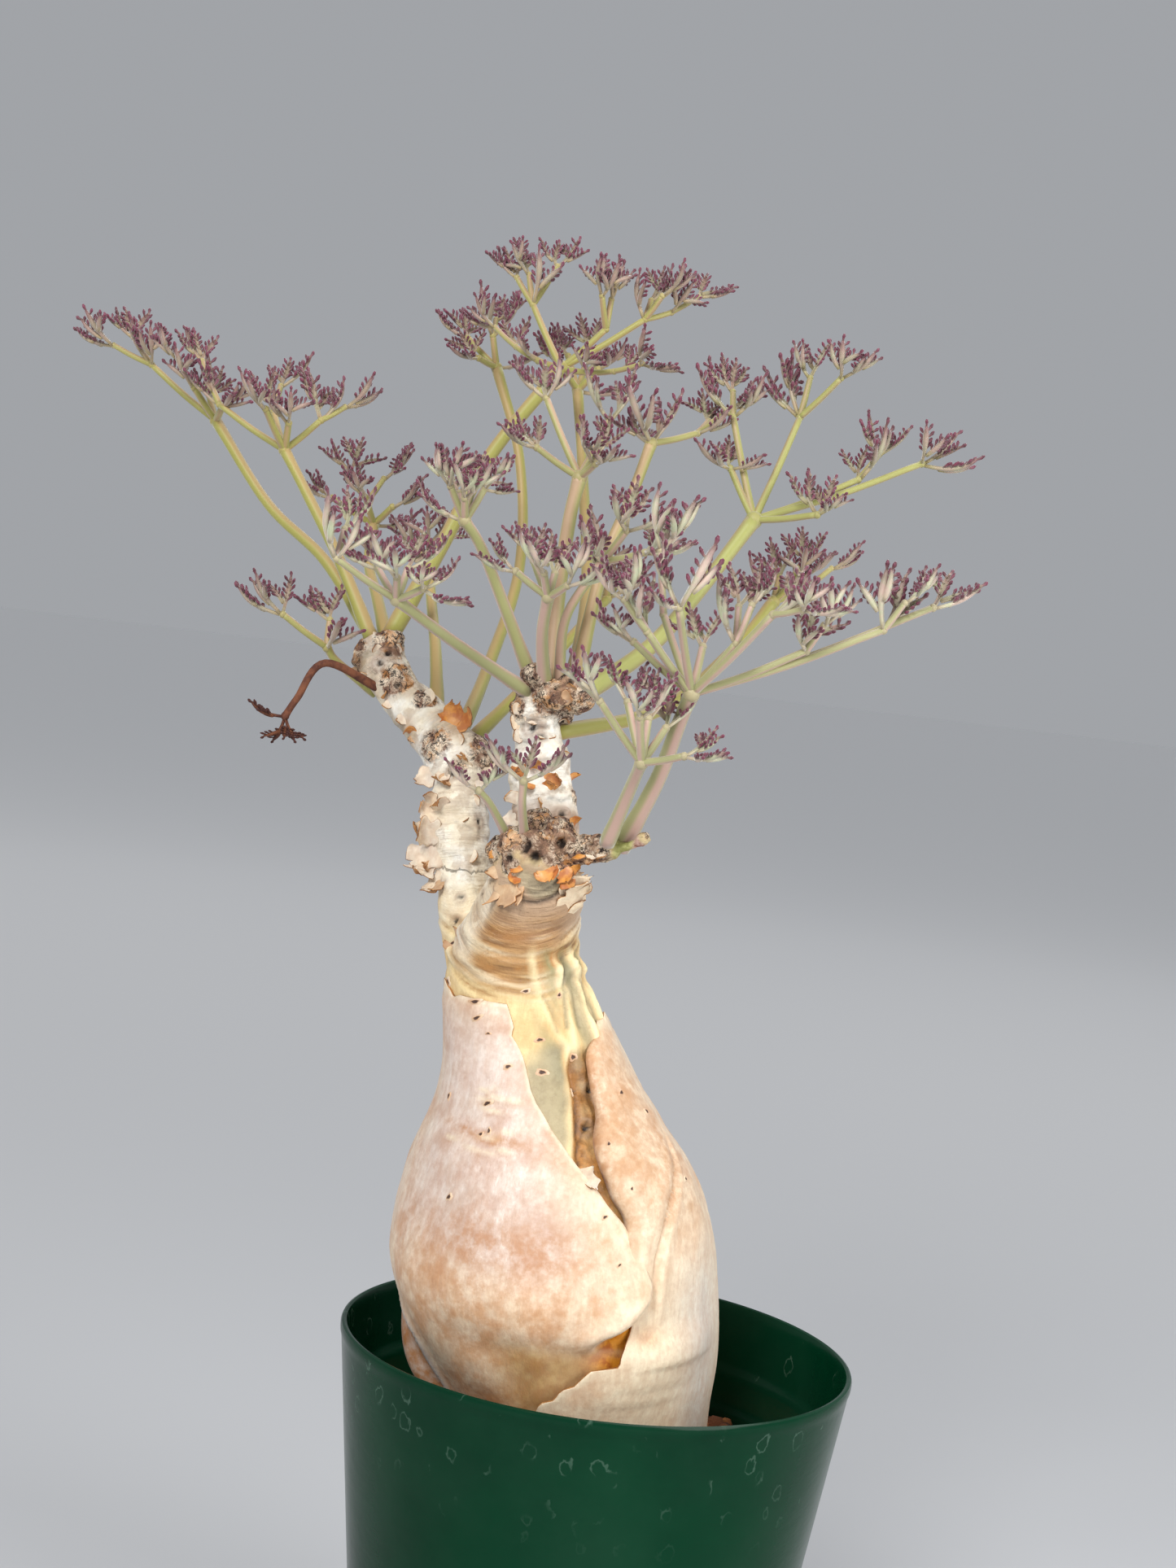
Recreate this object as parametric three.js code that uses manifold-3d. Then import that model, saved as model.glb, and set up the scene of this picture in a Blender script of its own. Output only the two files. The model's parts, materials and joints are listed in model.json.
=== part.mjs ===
// A potted cyphostemma: a bottle-shaped caudex with peeling papery bark, three short
// stems and a crown of finely cut leaves, in a round green nursery pot.
// Millimetres. The origin is the centre of the pot's underside, +Z runs up the pot's axis,
// +X is to the right as the plant is seen from its front, and +Y is away from that viewer.
import * as THREE from "three";
import { mergeVertices } from "three/addons/utils/BufferGeometryUtils.js";
import Module from "manifold-3d";

const wasm = await Module();
wasm.setup();

// Driving dimensions of the pot and its fill
const POT_HEIGHT = 82;
const RIM_RADIUS = 45;
const FOOT_RADIUS = 33.8;
const POT_WALL = 1.2;
const POT_FLOOR = 2;
const LIP_HEIGHT = 1;
const LIP_BEVEL = 0.2;
const POT_SIDES = 40;
const LEDGE_DROPS = [12, 19];
const LEDGE_STEP = 0.5;
const DRAIN_HOLES = 6;
const DRAIN_RADIUS = 3;
const DRAIN_CIRCLE = 23;
const DRAIN_SIDES = 12;
const SOIL_DEPTH_BELOW_RIM = 20;
const SOIL_LEVEL = POT_HEIGHT - SOIL_DEPTH_BELOW_RIM;
const SOIL_GRAIN = 0.9;
const SOIL_RINGS = 6;
const SOIL_SIDES = 30;

// Driving dimensions of the plant
const GAP = 0.3;
const STALK_RADIUS = 1.25;
const ARM_RADIUS = 0.75;
const ARM_SAG = 0.07;
const BLADE_KEEL = 0.85;
const BLADE_HALF_WIDTH = 1.7;
const BLADE_LENGTH = 8.5;
const BLADE_SPACING = 7;
const LONGEST_BLADE = 13;
const FOOT_OUT = 0.4;
const FLAKE_THICKNESS = 0.8;
const FLAKE_CURL = 1.4;
const CAUDEX_SIDES = 24;
const BARK_COLUMNS = 11;
const BARK_SUNK = -1.6;
const STEM_SIDES = 9;
const TWIG_SIDES = 6;
const TWIG_RADIUS = 4;

// The caudex from its root to the cut-back front stub: height, centre x, centre y, radius
const CAUDEX = [
  [38, 1.5, 0, 7],
  [50, 2, 0, 13],
  [62, 1.5, 0, 17.5],
  [68, -0.7, 0, 20.9],
  [74, -3.5, 0, 23.8],
  [81, -5.9, 0, 26.5],
  [88, -7.6, 0, 27.7],
  [95, -9.2, 0, 28.2],
  [102, -10, 0, 27.2],
  [109, -10.8, 0, 25.3],
  [116, -12, 0, 22.6],
  [123, -13.9, 0, 18.9],
  [130, -16.3, 0, 16.1],
  [138, -19.2, 0, 14],
  [143, -21, -0.4, 12.9],
  [145.5, -21.7, -0.8, 11.7],
  [147.5, -22, -1.2, 12],
  [149.5, -22.2, -1.7, 10.7],
  [151.5, -22, -2.4, 10.9],
  [154, -21.4, -3.6, 9.6],
  [158, -20.4, -5.6, 9],
  [163, -19.8, -7.6, 7.8],
  [167.5, -20.6, -8.8, 7],
];

// The outer bark has split and stands off the skin. Each sheet is given from its foot to
// its head as height, bearing of its left edge, bearing of its right edge and lift off the
// skin. Bearings are in degrees from the front, positive to the right.
const BARK_SHEETS = [
  [
    [60, -150, -24, 1.1], [70, -152, -13, 1.4], [77, -152, -7, 1.8], [85, -152, 6, 2.2],
    [89, -152, 19, 2.1], [94, -152, 30, 1.9], [98, -150, 37, 1.6], [103, -148, 35, 1.3],
    [108, -146, 30, 1.1], [114, -142, 17, 1.1], [120, -138, 6, 1.1], [129, -130, -4, 1.1],
    [136, -122, -9, 1], [141, -112, -8, 0.9],
  ],
  [
    [60, 0, 172, 0.6], [77, 18, 172, 0.6], [90, 26, 172, 0.8], [97, 27, 172, 1.2],
    [104, 28, 172, 2], [112, 26, 170, 2.8], [120, 25, 166, 2.8], [124, 31, 162, 2.5],
    [130, 36, 156, 2], [135, 43, 150, 1.6], [138.5, 66, 140, 1],
  ],
  [
    [60, -20, 58, 2.6], [70, -16, 56, 2.6], [76, -9, 52, 2.7], [79, -2, 48, 2.8],
    [82, 8, 42, 2.9], [85, 17, 34, 2.9],
  ],
];

// Stems as centre points with a radius at each
const STEMS = [
  {
    points: [
      [-27.6, 2.6, 143], [-32.4, 6, 155], [-33.8, 8, 163.4], [-35.6, 11, 173.3], [-37.5, 13.5, 179.6],
      [-43.1, 17, 184.7], [-49.3, 20, 189.9], [-53.6, 22, 194.8], [-55.6, 24, 200.2],
    ],
    radii: [6, 4.9, 4.5, 4.4, 5.6, 4.7, 4.2, 4.4, 3.6],
  },
  {
    points: [[-19, -1, 157], [-18.3, 0, 168], [-20.4, 2, 178.5], [-22.5, 4, 186.8], [-23.6, 4, 194.6]],
    radii: [6, 5.4, 5.5, 4.2, 4],
  },
  { points: [[-18, -9.5, 166.5], [-12.5, -13.5, 168.4], [-6.6, -18, 170]], radii: [3.6, 2.6, 1.9] },
  { points: [[-7.6, -17.4, 169.6], [-4.4, -19.4, 170.6], [-2.6, -20.4, 171.8]], radii: [1.3, 1.1, 1.2] },
];

// Leaf scars and dead buds that stand out of the stems: centre and radius
const KNOBS = [
  [[-26.4, -8.6, 166.4], 2.6], [[-24, -12, 168.4], 2.7], [[-20.4, -13.4, 168.6], 2.5],
  [[-16.6, -11.6, 171], 2.7], [[-20.4, -8, 171.4], 3], [[-17.4, 1.6, 194.4], 3.9],
  [[-24.6, 0.6, 196.6], 2.4], [[-58.2, 23, 196.4], 2.7], [[-52.6, 21, 199.4], 2.4],
  [[-33.4, 12, 181], 2.8], [[-40.6, 11.6, 181.6], 2.6], [[-2.4, -20.6, 172], 1.7],
];

// Curled flakes of old bark on the stems: foot, outward run and half width
const FLAKES = [
  [[-37, 7, 164.4], [-6.6, -1, 1.6], 3.4],
  [[-38.4, 10, 171], [-5.4, 0, 3.4], 3],
  [[-36, 5, 158], [-4.4, -1.6, -2.6], 2.4],
  [[-43.6, 13, 184.2], [-5.6, -3, -1], 2.4],
  [[-38.6, 18, 188.6], [1.6, -1, 5.4], 2.2],
  [[-26, -10, 160.6], [-2.4, -3, -4], 3.2],
  [[-13.4, -9, 163], [2.6, -1.4, 3.8], 2.6],
];

const fork = (knee, ...tips) => ({ knee, tips });

// Every leaf: its stalk from the stem to the hub, then the arms that fan out of the hub.
// An arm is the point of its last leaflet, or a fork at a knee with arms of its own.
const LEAVES = [
  {
    name: "leaf_left_far",
    stalk: [[-57.6, 26.6, 200.6], [-68, 32, 212.9], [-81, 38, 222.5], [-94, 44, 237.6]],
    arms: [
      fork([-108, 46, 247], [-124, 50, 253], [-118, 51, 258], [-112, 46, 257], [-107, 41, 255]),
      fork([-98, 40, 243], [-105, 34, 254], [-101, 35, 251]),
      [-102, 56, 256],
      [-89, 31, 243],
    ],
  },
  {
    name: "leaf_left_near",
    stalk: [[-57.2, 22, 200.8], [-64.4, 26, 213], [-72.4, 30, 224.6], [-78, 32, 232.6]],
    arms: [
      fork([-92, 36, 240], [-101, 42, 255], [-94, 37, 251], [-98, 38, 247]),
      [-84, 20, 245],
      fork([-82, 38, 240], [-82, 48, 252], [-85, 41, 249]),
      [-76, 23, 244],
      fork([-72, 33, 239], [-63, 41, 247], [-75, 38, 250], [-69, 35, 248]),
    ],
  },
  {
    name: "leaf_left_inner",
    stalk: [[-54.6, 27.4, 200.4], [-58, 35, 207.4], [-61.4, 43, 214], [-62, 48, 221.6]],
    arms: [
      [-77, 41, 229],
      fork([-64, 50, 226], [-73, 56, 238], [-67, 52, 235], [-58, 55, 238]),
      [-65, 37, 232],
      [-53, 43, 231],
      [-54, 56, 226],
    ],
  },
  {
    name: "leaf_top",
    stalk: [[-52.8, 23.4, 201.6], [-46, 29, 219], [-39.6, 32, 236], [-28.5, 35, 254]],
    stalkRadius: 1.6,
    arms: [
      fork([-35.4, 38, 265.6], [-44, 43, 277], [-39, 44, 279], [-35, 37, 277], [-29, 46, 281]),
      fork([-21, 34, 262], [-24, 27, 275], [-20, 33, 276]),
      fork([-14, 34, 264.6], [2, 42, 275], [-7, 30, 276], [-12, 40, 276], [-16, 33, 274]),
      [-6, 21, 256],
      [-49, 50, 265],
    ],
  },
  {
    name: "leaf_left_low",
    stalk: [[-55.6, 22.4, 190.2], [-61.9, 19.4, 194.6], [-63.8, 18, 197]],
    stalkRadius: 0.95,
    arms: [
      fork([-72, 15, 202], [-81, 14, 207], [-77, 12, 210], [-72, 17, 210]),
      fork([-64, 19, 202], [-70, 25, 208], [-65, 24, 209]),
      [-61, 10, 204],
    ],
  },
  {
    name: "leaf_left_dried",
    stalk: [[-53.6, 18.6, 190.6], [-62.9, 12, 194.2], [-66.9, 10, 187.4], [-68.7, 10, 184]],
    stalkRadius: 0.8,
    dried: true,
    arms: [[-75.5, 8, 186.5], [-71.5, 12, 179], [-65, 7, 180]],
  },
  {
    name: "leaf_centre_left",
    stalk: [[-26.4, 1.2, 194], [-37.9, -8, 200.3], [-48.3, -14, 206.5]],
    arms: [
      fork([-58.2, -20, 212], [-61, -23, 224], [-57, -15, 225], [-55, -23, 220]),
      fork([-52.6, -9, 211.4], [-55.4, -5, 220], [-60, -7, 216]),
      [-48, -24, 216],
      fork([-47.6, -9, 212], [-42, -6, 219.6], [-47, -3, 220]),
      fork([-43.6, -18, 208.8], [-34.6, -22, 208], [-44, -23, 213.4], [-38.6, -15, 215]),
    ],
  },
  {
    name: "leaf_centre_upper",
    stalk: [[-25.6, 5, 196.2], [-31, 2.6, 207], [-36.4, 0, 217.4], [-39.6, -2, 221.6]],
    arms: [
      [-46, -8, 234],
      [-44, 6, 233],
      [-40, -10, 232],
      [-39, 5, 235],
      fork([-37, 0, 227.6], [-32, 5, 229.6], [-34, -5, 234]),
      [-49, -1, 228],
    ],
  },
  {
    name: "leaf_centre_front",
    stalk: [[-22.8, 0.4, 195.4], [-23.7, -7, 203.6], [-23.2, -12, 210]],
    arms: [
      fork([-29, -14, 213.6], [-36, -18, 216.6], [-33, -13, 220]),
      fork([-26.5, -9, 215.8], [-30, -6, 223], [-26, -4, 223]),
      [-25.6, -21, 220],
      [-21.6, -6, 221.6],
      fork([-20, -15, 212.2], [-14, -20, 217], [-18.6, -19, 220.6]),
    ],
  },
  {
    name: "leaf_centre_small",
    stalk: [[-20.2, 1.6, 196], [-20.4, 0, 207], [-15.3, -1, 217.4]],
    stalkRadius: 1,
    arms: [
      [-19, -8, 225],
      [-16.4, 5, 228],
      fork([-11.6, -5, 223], [-14.6, -11, 230], [-11.6, -3, 233], [-4, -9, 229]),
      fork([-8, -6, 219.6], [-4.5, -15, 225], [0.3, -8, 223], [-5, -2, 227.6]),
    ],
  },
  {
    name: "leaf_centre_tall",
    stalk: [[-22, 5, 196], [-22.6, 8, 210], [-22.2, 8, 224.4], [-21.3, 8, 232]],
    stalkRadius: 1.5,
    arms: [
      fork([-29.4, 8, 236.4], [-37, 4, 240.4], [-34, 11, 243], [-29.6, 15, 243]),
      fork([-29, 12, 245.6], [-35.4, 13, 253.4], [-31, 19, 254], [-27, 10, 253.6]),
      fork([-18.6, 6, 236], [-20.8, 0, 241], [-17, 8, 245]),
      fork([-17.4, 12, 243], [-22, 10, 253], [-14, 15, 254.4]),
      [-14.4, -2, 238.4],
    ],
  },
  {
    name: "leaf_centre_right",
    stalk: [[-17.6, 4.6, 196], [-15.5, 10, 216.6], [-12, 13, 230], [-9.6, 14, 240]],
    arms: [
      [-13, 8, 251],
      [-7, 17, 251],
      fork([-1.6, 20, 243.4], [8.4, 27, 254], [3, 30, 251], [4, 16, 249]),
      [-15, 22, 247],
    ],
  },
  {
    name: "leaf_right_high",
    stalk: [[-14.6, 2.6, 195.4], [-5.4, 6, 203.8], [2.2, 10, 215], [10.2, 14, 228.6]],
    stalkRadius: 1.7,
    arms: [
      fork([5, 16, 237.4], [-1.6, 10, 242], [3.4, 20, 244], [10.6, 12, 241]),
      fork([4.4, 19.6, 247], [-2, 22, 258], [3, 27, 259], [9, 18, 256]),
      fork([16.4, 21, 248.4], [10.6, 26, 258], [14.6, 22, 261], [18.6, 26, 264], [28, 15, 262]),
      fork([21, 8, 230.4], [25, 5, 235.4], [17.6, 12, 239.4], [23.6, 12, 239]),
      fork([28, 18, 238.2], [27.6, 21, 245], [31.6, 17, 250], [35.6, 23, 250]),
      fork([39, 18.4, 242.4], [50, 17, 244.6], [39, 13, 250], [44.6, 21, 250.4]),
    ],
  },
  {
    name: "leaf_right_back",
    stalk: [[-19.6, 6.8, 187], [-2.5, 22, 192.8], [9.7, 34, 205.3], [16.4, 40, 215.5]],
    stalkRadius: 1.4,
    arms: [[18, 44, 228.4], [25, 47, 231], [33, 50, 228], [26, 37, 227], [12, 36, 224.6]],
  },
  {
    name: "leaf_front_right",
    stalk: [[-5.6, -16.8, 170.6], [-1.2, -21, 182], [1.2, -27, 191.8], [2.6, -31, 196.8]],
    stalkRadius: 1.5,
    arms: [
      fork([-5.6, -37, 205.8], [-15, -43, 216], [-14, -37, 218], [-9.2, -40, 216], [-7, -33, 216]),
      fork([-1, -41, 210], [-6.8, -46, 212.6], [-4, -40, 222], [1.4, -45, 222]),
      fork([-7.6, -31, 204], [-14.4, -29, 210.4], [-11, -34, 210]),
      fork([8.6, -37, 205.6], [5.2, -38, 217], [12.6, -36, 220], [8, -30, 219]),
      fork([13.6, -42, 210.6], [19.4, -47, 218], [24.6, -50, 213.6], [18, -38, 220]),
      fork([20, -30, 205.8], [17.4, -35, 212], [20.4, -26, 216], [26, -33, 217.6]),
      fork([32, -28, 210.6], [30.4, -31, 222], [34.6, -25, 222], [39, -30, 222.6]),
      fork([39.6, -26, 215.2], [47, -24, 221], [42, -20, 223]),
      fork([-3.4, -28, 209], fork([-5, -30, 219], [-6, -31, 230], [-1.5, -33, 229], [-1, -23, 229])),
      [4.4, -21, 211.6],
    ],
  },
  {
    name: "leaf_front_low",
    stalk: [[-8, -20.4, 171.4], [-5.4, -28, 180.3], [-4, -34, 185]],
    arms: [
      fork([-11.6, -38, 194], [-17, -37, 202], [-14.4, -42, 203]),
      [-10.2, -29, 202],
      [-6, -45, 199],
      [-3.4, -33, 200.6],
      [3, -29, 198],
      fork([2.6, -38, 187], [9.6, -42, 189.4], [6.8, -35, 192.6]),
    ],
  },
  {
    name: "leaf_young_tall",
    stalk: [[-22.4, -12.6, 169.6], [-23, -18.6, 175], [-23.1, -21, 179.2]],
    stalkRadius: 0.85,
    arms: [[-29, -25, 187], [-16, -23, 187], [-22.6, -15, 187]],
  },
  {
    name: "leaf_young_low",
    stalk: [[-25.6, -12, 169.6], [-28.4, -17, 174.4], [-30.4, -19, 176.6]],
    stalkRadius: 0.8,
    arms: [[-35.6, -22, 182], [-27.6, -21, 182.6]],
  },
  {
    name: "leaf_joint_right",
    stalk: [[-35.4, 14, 183.6], [-28.2, 24, 193.2], [-20.8, 32, 203.9], [-15.1, 38, 212.4]],
    arms: [[-20.6, 46, 224.6], [-10, 48, 222], [-15, 30, 225], [-7, 36, 222]],
  },
  {
    name: "leaf_joint_left",
    stalk: [[-42.6, 18.6, 188], [-45.1, 28, 198.7], [-48, 38, 207.8], [-49.6, 42, 214]],
    arms: [[-56.6, 48, 223.6], [-46.6, 51, 226.6], [-50, 34, 226]],
  },
  {
    name: "leaf_back_high",
    stalk: [[-38, 18.4, 184], [-35.5, 34, 197], [-33, 50, 216.6], [-36, 58, 238], [-43, 62, 256]],
    arms: [
      [-56, 65, 266.6],
      fork([-44.4, 61, 262], [-47, 58, 272.6], [-40.6, 64, 273], [-44.6, 70, 272]),
      [-52, 52, 258.6],
      [-35.6, 68, 262],
    ],
  },
  {
    name: "leaf_back_centre",
    stalk: [[-18.8, 6.4, 192.6], [-18.4, 26, 212], [-22.6, 42, 236], [-25.8, 50, 252]],
    arms: [[-31.6, 56, 266], [-24, 60, 268.6], [-17, 46, 262.6], [-33, 42, 260.6], [-15, 56, 256]],
  },
];

const FINISHES = {
  pot: { color: 0x0b5a37, roughness: 0.22, metalness: 0 },
  soil: { color: 0xb07c50, roughness: 0.95, metalness: 0 },
  caudex: { color: 0xe2c8b4, roughness: 0.6, metalness: 0 },
  leaf: { color: 0x8d9477, roughness: 0.55, metalness: 0 },
  leaf_dried: { color: 0x8a5a36, roughness: 0.8, metalness: 0 },
};

const at = ([x, y, z]) => new THREE.Vector3(x, y, z);

// Repeatable stand-in for chance, from 0 to 1
function chance(seed) {
  const value = Math.sin(seed * 12.9898 + 4.1) * 43758.5453;
  return value - Math.floor(value);
}

function solidOf(geometry) {
  const bare = geometry.clone();
  bare.deleteAttribute("normal");
  bare.deleteAttribute("uv");
  const merged = mergeVertices(bare, 1e-4);
  return new wasm.Manifold(
    new wasm.Mesh({
      numProp: 3,
      vertProperties: merged.getAttribute("position").array,
      triVerts: new Uint32Array(merged.getIndex().array),
    }),
  );
}

function geometryOf(solid) {
  const mesh = solid.getMesh();
  const geometry = new THREE.BufferGeometry();
  const positions = new Float32Array(mesh.vertProperties);
  geometry.setAttribute("position", new THREE.BufferAttribute(positions, 3));
  geometry.setIndex(new THREE.BufferAttribute(new Uint32Array(mesh.triVerts), 1));
  geometry.computeVertexNormals();
  return geometry;
}

function triangleSolid(points, triangles) {
  const geometry = new THREE.BufferGeometry().setFromPoints(points);
  geometry.setIndex(triangles);
  return solidOf(geometry);
}

// A closed skin over rings of equal count, each running anticlockwise seen from the last ring
function loft(rings) {
  const count = rings[0].length;
  const triangles = [];
  for (let row = 0; row + 1 < rings.length; row += 1) {
    for (let i = 0; i < count; i += 1) {
      const j = (i + 1) % count;
      const [a, b] = [row * count + i, row * count + j];
      triangles.push(a, b, b + count, a, b + count, a + count);
    }
  }
  const last = (rings.length - 1) * count;
  for (let i = 1; i + 1 < count; i += 1) {
    triangles.push(0, i + 1, i, last, last + i, last + i + 1);
  }
  return triangleSolid(rings.flat(), triangles);
}

// A round limb along a curve, with its radius eased from one end to the other
function limb(curve, radii, sides, steps) {
  const frames = curve.computeFrenetFrames(steps, false);
  const rings = [];
  for (let step = 0; step <= steps; step += 1) {
    const along = (step / steps) * (radii.length - 1);
    const below = Math.min(Math.floor(along), radii.length - 2);
    const radius = THREE.MathUtils.lerp(radii[below], radii[below + 1], along - below);
    const centre = curve.getPoint(step / steps);
    const ring = [];
    for (let side = 0; side < sides; side += 1) {
      const angle = (side / sides) * Math.PI * 2;
      ring.push(
        centre
          .clone()
          .addScaledVector(frames.normals[step], Math.cos(angle) * radius)
          .addScaledVector(frames.binormals[step], Math.sin(angle) * radius),
      );
    }
    rings.push(ring);
  }
  return loft(rings);
}

function joinAll(solids) {
  return wasm.Manifold.union(solids);
}

// The largest single body of a solid, without loose scraps
function mainBody(solid) {
  return solid.decompose().reduce((best, body) => (body.volume() > best.volume() ? body : best));
}

function makePot() {
  const inner = (z) => THREE.MathUtils.mapLinear(z, 0, POT_HEIGHT, FOOT_RADIUS, RIM_RADIUS) - POT_WALL;
  const profile = [
    [0, 0],
    [FOOT_RADIUS, 0],
    [RIM_RADIUS, POT_HEIGHT - LIP_HEIGHT],
    [RIM_RADIUS - LIP_BEVEL, POT_HEIGHT],
    [RIM_RADIUS - POT_WALL, POT_HEIGHT],
  ];
  LEDGE_DROPS.forEach((drop, index) => {
    const z = POT_HEIGHT - drop;
    profile.push([inner(z) - LEDGE_STEP * index, z], [inner(z) - LEDGE_STEP * (index + 1), z - LEDGE_STEP]);
  });
  profile.push([inner(POT_FLOOR) - LEDGE_STEP * LEDGE_DROPS.length, POT_FLOOR], [0, POT_FLOOR]);
  const outline = profile.map(([radius, z]) => new THREE.Vector2(radius, z));
  const shell = solidOf(new THREE.LatheGeometry(outline, POT_SIDES).rotateX(Math.PI / 2));
  const holes = [];
  for (let i = 0; i < DRAIN_HOLES; i += 1) {
    const bearing = ((i + 0.5) / DRAIN_HOLES) * Math.PI * 2;
    const drill = new THREE.CylinderGeometry(DRAIN_RADIUS, DRAIN_RADIUS, POT_FLOOR * 3, DRAIN_SIDES);
    drill.rotateX(Math.PI / 2);
    drill.translate(Math.cos(bearing) * DRAIN_CIRCLE, Math.sin(bearing) * DRAIN_CIRCLE, POT_FLOOR / 2);
    holes.push(solidOf(drill));
  }
  return shell.subtract(joinAll(holes));
}

function caudexAt(z) {
  const above = Math.max(1, CAUDEX.findIndex((station) => station[0] >= z));
  const [low, high] = [CAUDEX[above - 1], CAUDEX[above]];
  const share = (z - low[0]) / (high[0] - low[0]);
  return low.map((value, i) => THREE.MathUtils.lerp(value, high[i], share));
}

function onCaudex(z, bearingDegrees, lift) {
  const [, x, y, radius] = caudexAt(z);
  const bearing = THREE.MathUtils.degToRad(bearingDegrees);
  const reach = radius + lift;
  return new THREE.Vector3(x + Math.sin(bearing) * reach, y - Math.cos(bearing) * reach, z);
}

function makeCaudexBody(grow) {
  const bearings = Array.from({ length: CAUDEX_SIDES }, (_, side) => (side / CAUDEX_SIDES) * 360);
  const rings = CAUDEX.map(([z]) => bearings.map((bearing) => onCaudex(z, bearing, grow)));
  rings[0].forEach((point) => point.setZ(point.z - grow));
  rings.at(-1).forEach((point) => point.setZ(point.z + grow));
  return loft(rings);
}

function makeBarkSheet(sheet, grow) {
  const rings = [];
  for (const [z, left, right, lift] of sheet) {
    const spread = THREE.MathUtils.radToDeg(grow / caudexAt(z)[3]);
    const across = Array.from({ length: BARK_COLUMNS }, (_, column) =>
      THREE.MathUtils.lerp(left - spread, right + spread, column / (BARK_COLUMNS - 1)),
    );
    const outer = across.map((bearing) => onCaudex(z, bearing, lift + grow));
    const inner = across.map((bearing) => onCaudex(z, bearing, BARK_SUNK)).reverse();
    rings.push([...outer, ...inner]);
  }
  rings[0].forEach((point) => point.setZ(point.z - grow));
  rings.at(-1).forEach((point) => point.setZ(point.z + grow));
  return loft(rings);
}

// A twenty-sided ball, its corners a little outside the radius so that its faces are inside
function makeKnob([centre, radius], grow) {
  const cornersOut = 1.12;
  const ball = new THREE.IcosahedronGeometry((radius + grow) * cornersOut, 0);
  return solidOf(ball.translate(...centre));
}

function makeFlake([foot, run, halfWidth], grow) {
  const root = at(foot);
  const out = at(run);
  const across = new THREE.Vector3(0.2, 1, 0.3).cross(out).normalize();
  const face = out.clone().cross(across).normalize();
  const thickness = FLAKE_THICKNESS / 2 + grow;
  const widths = [[-0.8, 1], [0.5, 0.95], [1, 0.5]];
  const corners = [[1, -1], [1, 1], [-1, 1], [-1, -1]];
  const rings = widths.map(([along, width]) => {
    const curl = FLAKE_CURL * Math.max(0, along) ** 2;
    const centre = root.clone().addScaledVector(out, along).addScaledVector(face, curl);
    return corners.map(([u, v]) =>
      centre
        .clone()
        .addScaledVector(across, u * (halfWidth * width + grow))
        .addScaledVector(face, v * thickness),
    );
  });
  return loft(rings);
}

// Caudex, stems, scars and bark as the one body that they grow as. Grown by the gap, the
// same body cuts the seats of the leaf stalks and of the soil.
function makeTrunk(grow) {
  const pieces = [makeCaudexBody(grow)];
  BARK_SHEETS.forEach((sheet) => pieces.push(makeBarkSheet(sheet, grow)));
  STEMS.forEach(({ points, radii }) => {
    const curve = new THREE.CatmullRomCurve3(points.map(at));
    const sides = radii[0] > TWIG_RADIUS ? STEM_SIDES : TWIG_SIDES;
    pieces.push(limb(curve, radii.map((radius) => radius + grow), sides, points.length));
  });
  KNOBS.forEach((knob) => pieces.push(makeKnob(knob, grow)));
  FLAKES.forEach((flake) => pieces.push(makeFlake(flake, grow)));
  return joinAll(pieces);
}

function makeSoil(seat) {
  const rings = SOIL_RINGS;
  const sides = SOIL_SIDES;
  const wallAt = (z) =>
    THREE.MathUtils.mapLinear(z, 0, POT_HEIGHT, FOOT_RADIUS, RIM_RADIUS) -
    POT_WALL - LEDGE_STEP * LEDGE_DROPS.length - GAP;
  const foot = POT_FLOOR + GAP;
  const points = [];
  for (const z of [foot, SOIL_LEVEL]) {
    for (let side = 0; side < sides; side += 1) {
      const angle = (side / sides) * Math.PI * 2;
      points.push(new THREE.Vector3(Math.cos(angle) * wallAt(z), Math.sin(angle) * wallAt(z), z));
    }
  }
  for (let ring = 1; ring < rings; ring += 1) {
    for (let side = 0; side < sides; side += 1) {
      const angle = (side / sides) * Math.PI * 2;
      const reach = wallAt(SOIL_LEVEL) * (1 - ring / rings);
      const grain = (chance(ring * sides + side) - 0.5) * 2 * SOIL_GRAIN;
      points.push(new THREE.Vector3(Math.cos(angle) * reach, Math.sin(angle) * reach, SOIL_LEVEL + grain));
    }
  }
  const top = points.push(new THREE.Vector3(0, 0, SOIL_LEVEL)) - 1;
  const triangles = [];
  for (let row = 0; row < rings; row += 1) {
    for (let side = 0; side < sides; side += 1) {
      const next = (side + 1) % sides;
      const [a, b] = [row * sides + side, row * sides + next];
      triangles.push(a, b, b + sides, a, b + sides, a + sides);
    }
  }
  for (let side = 0; side < sides; side += 1) {
    triangles.push(rings * sides + side, rings * sides + ((side + 1) % sides), top);
    if (side > 1) triangles.push(0, side, side - 1);
  }
  return triangleSolid(points, triangles).subtract(seat);
}

// Turns of a leaflet about its arm, in radians, tried in order until it is clear
const LEAFLET_TURNS = [0, 0.5, -0.5, 1, -1];
const LEAFLET_CLEARANCE = 0.15;
const LEAFLET_BEND = 0.12;

// Half width of a leaflet along its length, as shares of both, with two pairs of teeth
const LEAFLET_OUTLINE = [[0.42, 0.9], [0.56, 0.42], [0.8, 1]];
const LEAFLET_FOOT = [0, 0.34];
const KEEL_SHARE = 0.4;
const LEAFLET_TURN_BY_CHANCE = 1.2;

// Run of a leaflet at the side of a long arm: along the arm, upwards and sideways
const SIDE_LEAFLET_RUN = { outward: 0.5, up: 0.7, sideways: 0.6 };
const SIDE_LEAFLET_LENGTHS = [0.85, 1.15];

// A stalk is wider at its foot and narrower at its hub
const STALK_TAPER = [1.15, 0.9];

// Share by which the arms of a full hub are spread evenly around it
const HUB_EVENING = 0.4;

const UP = new THREE.Vector3(0, 0, 1);

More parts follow.
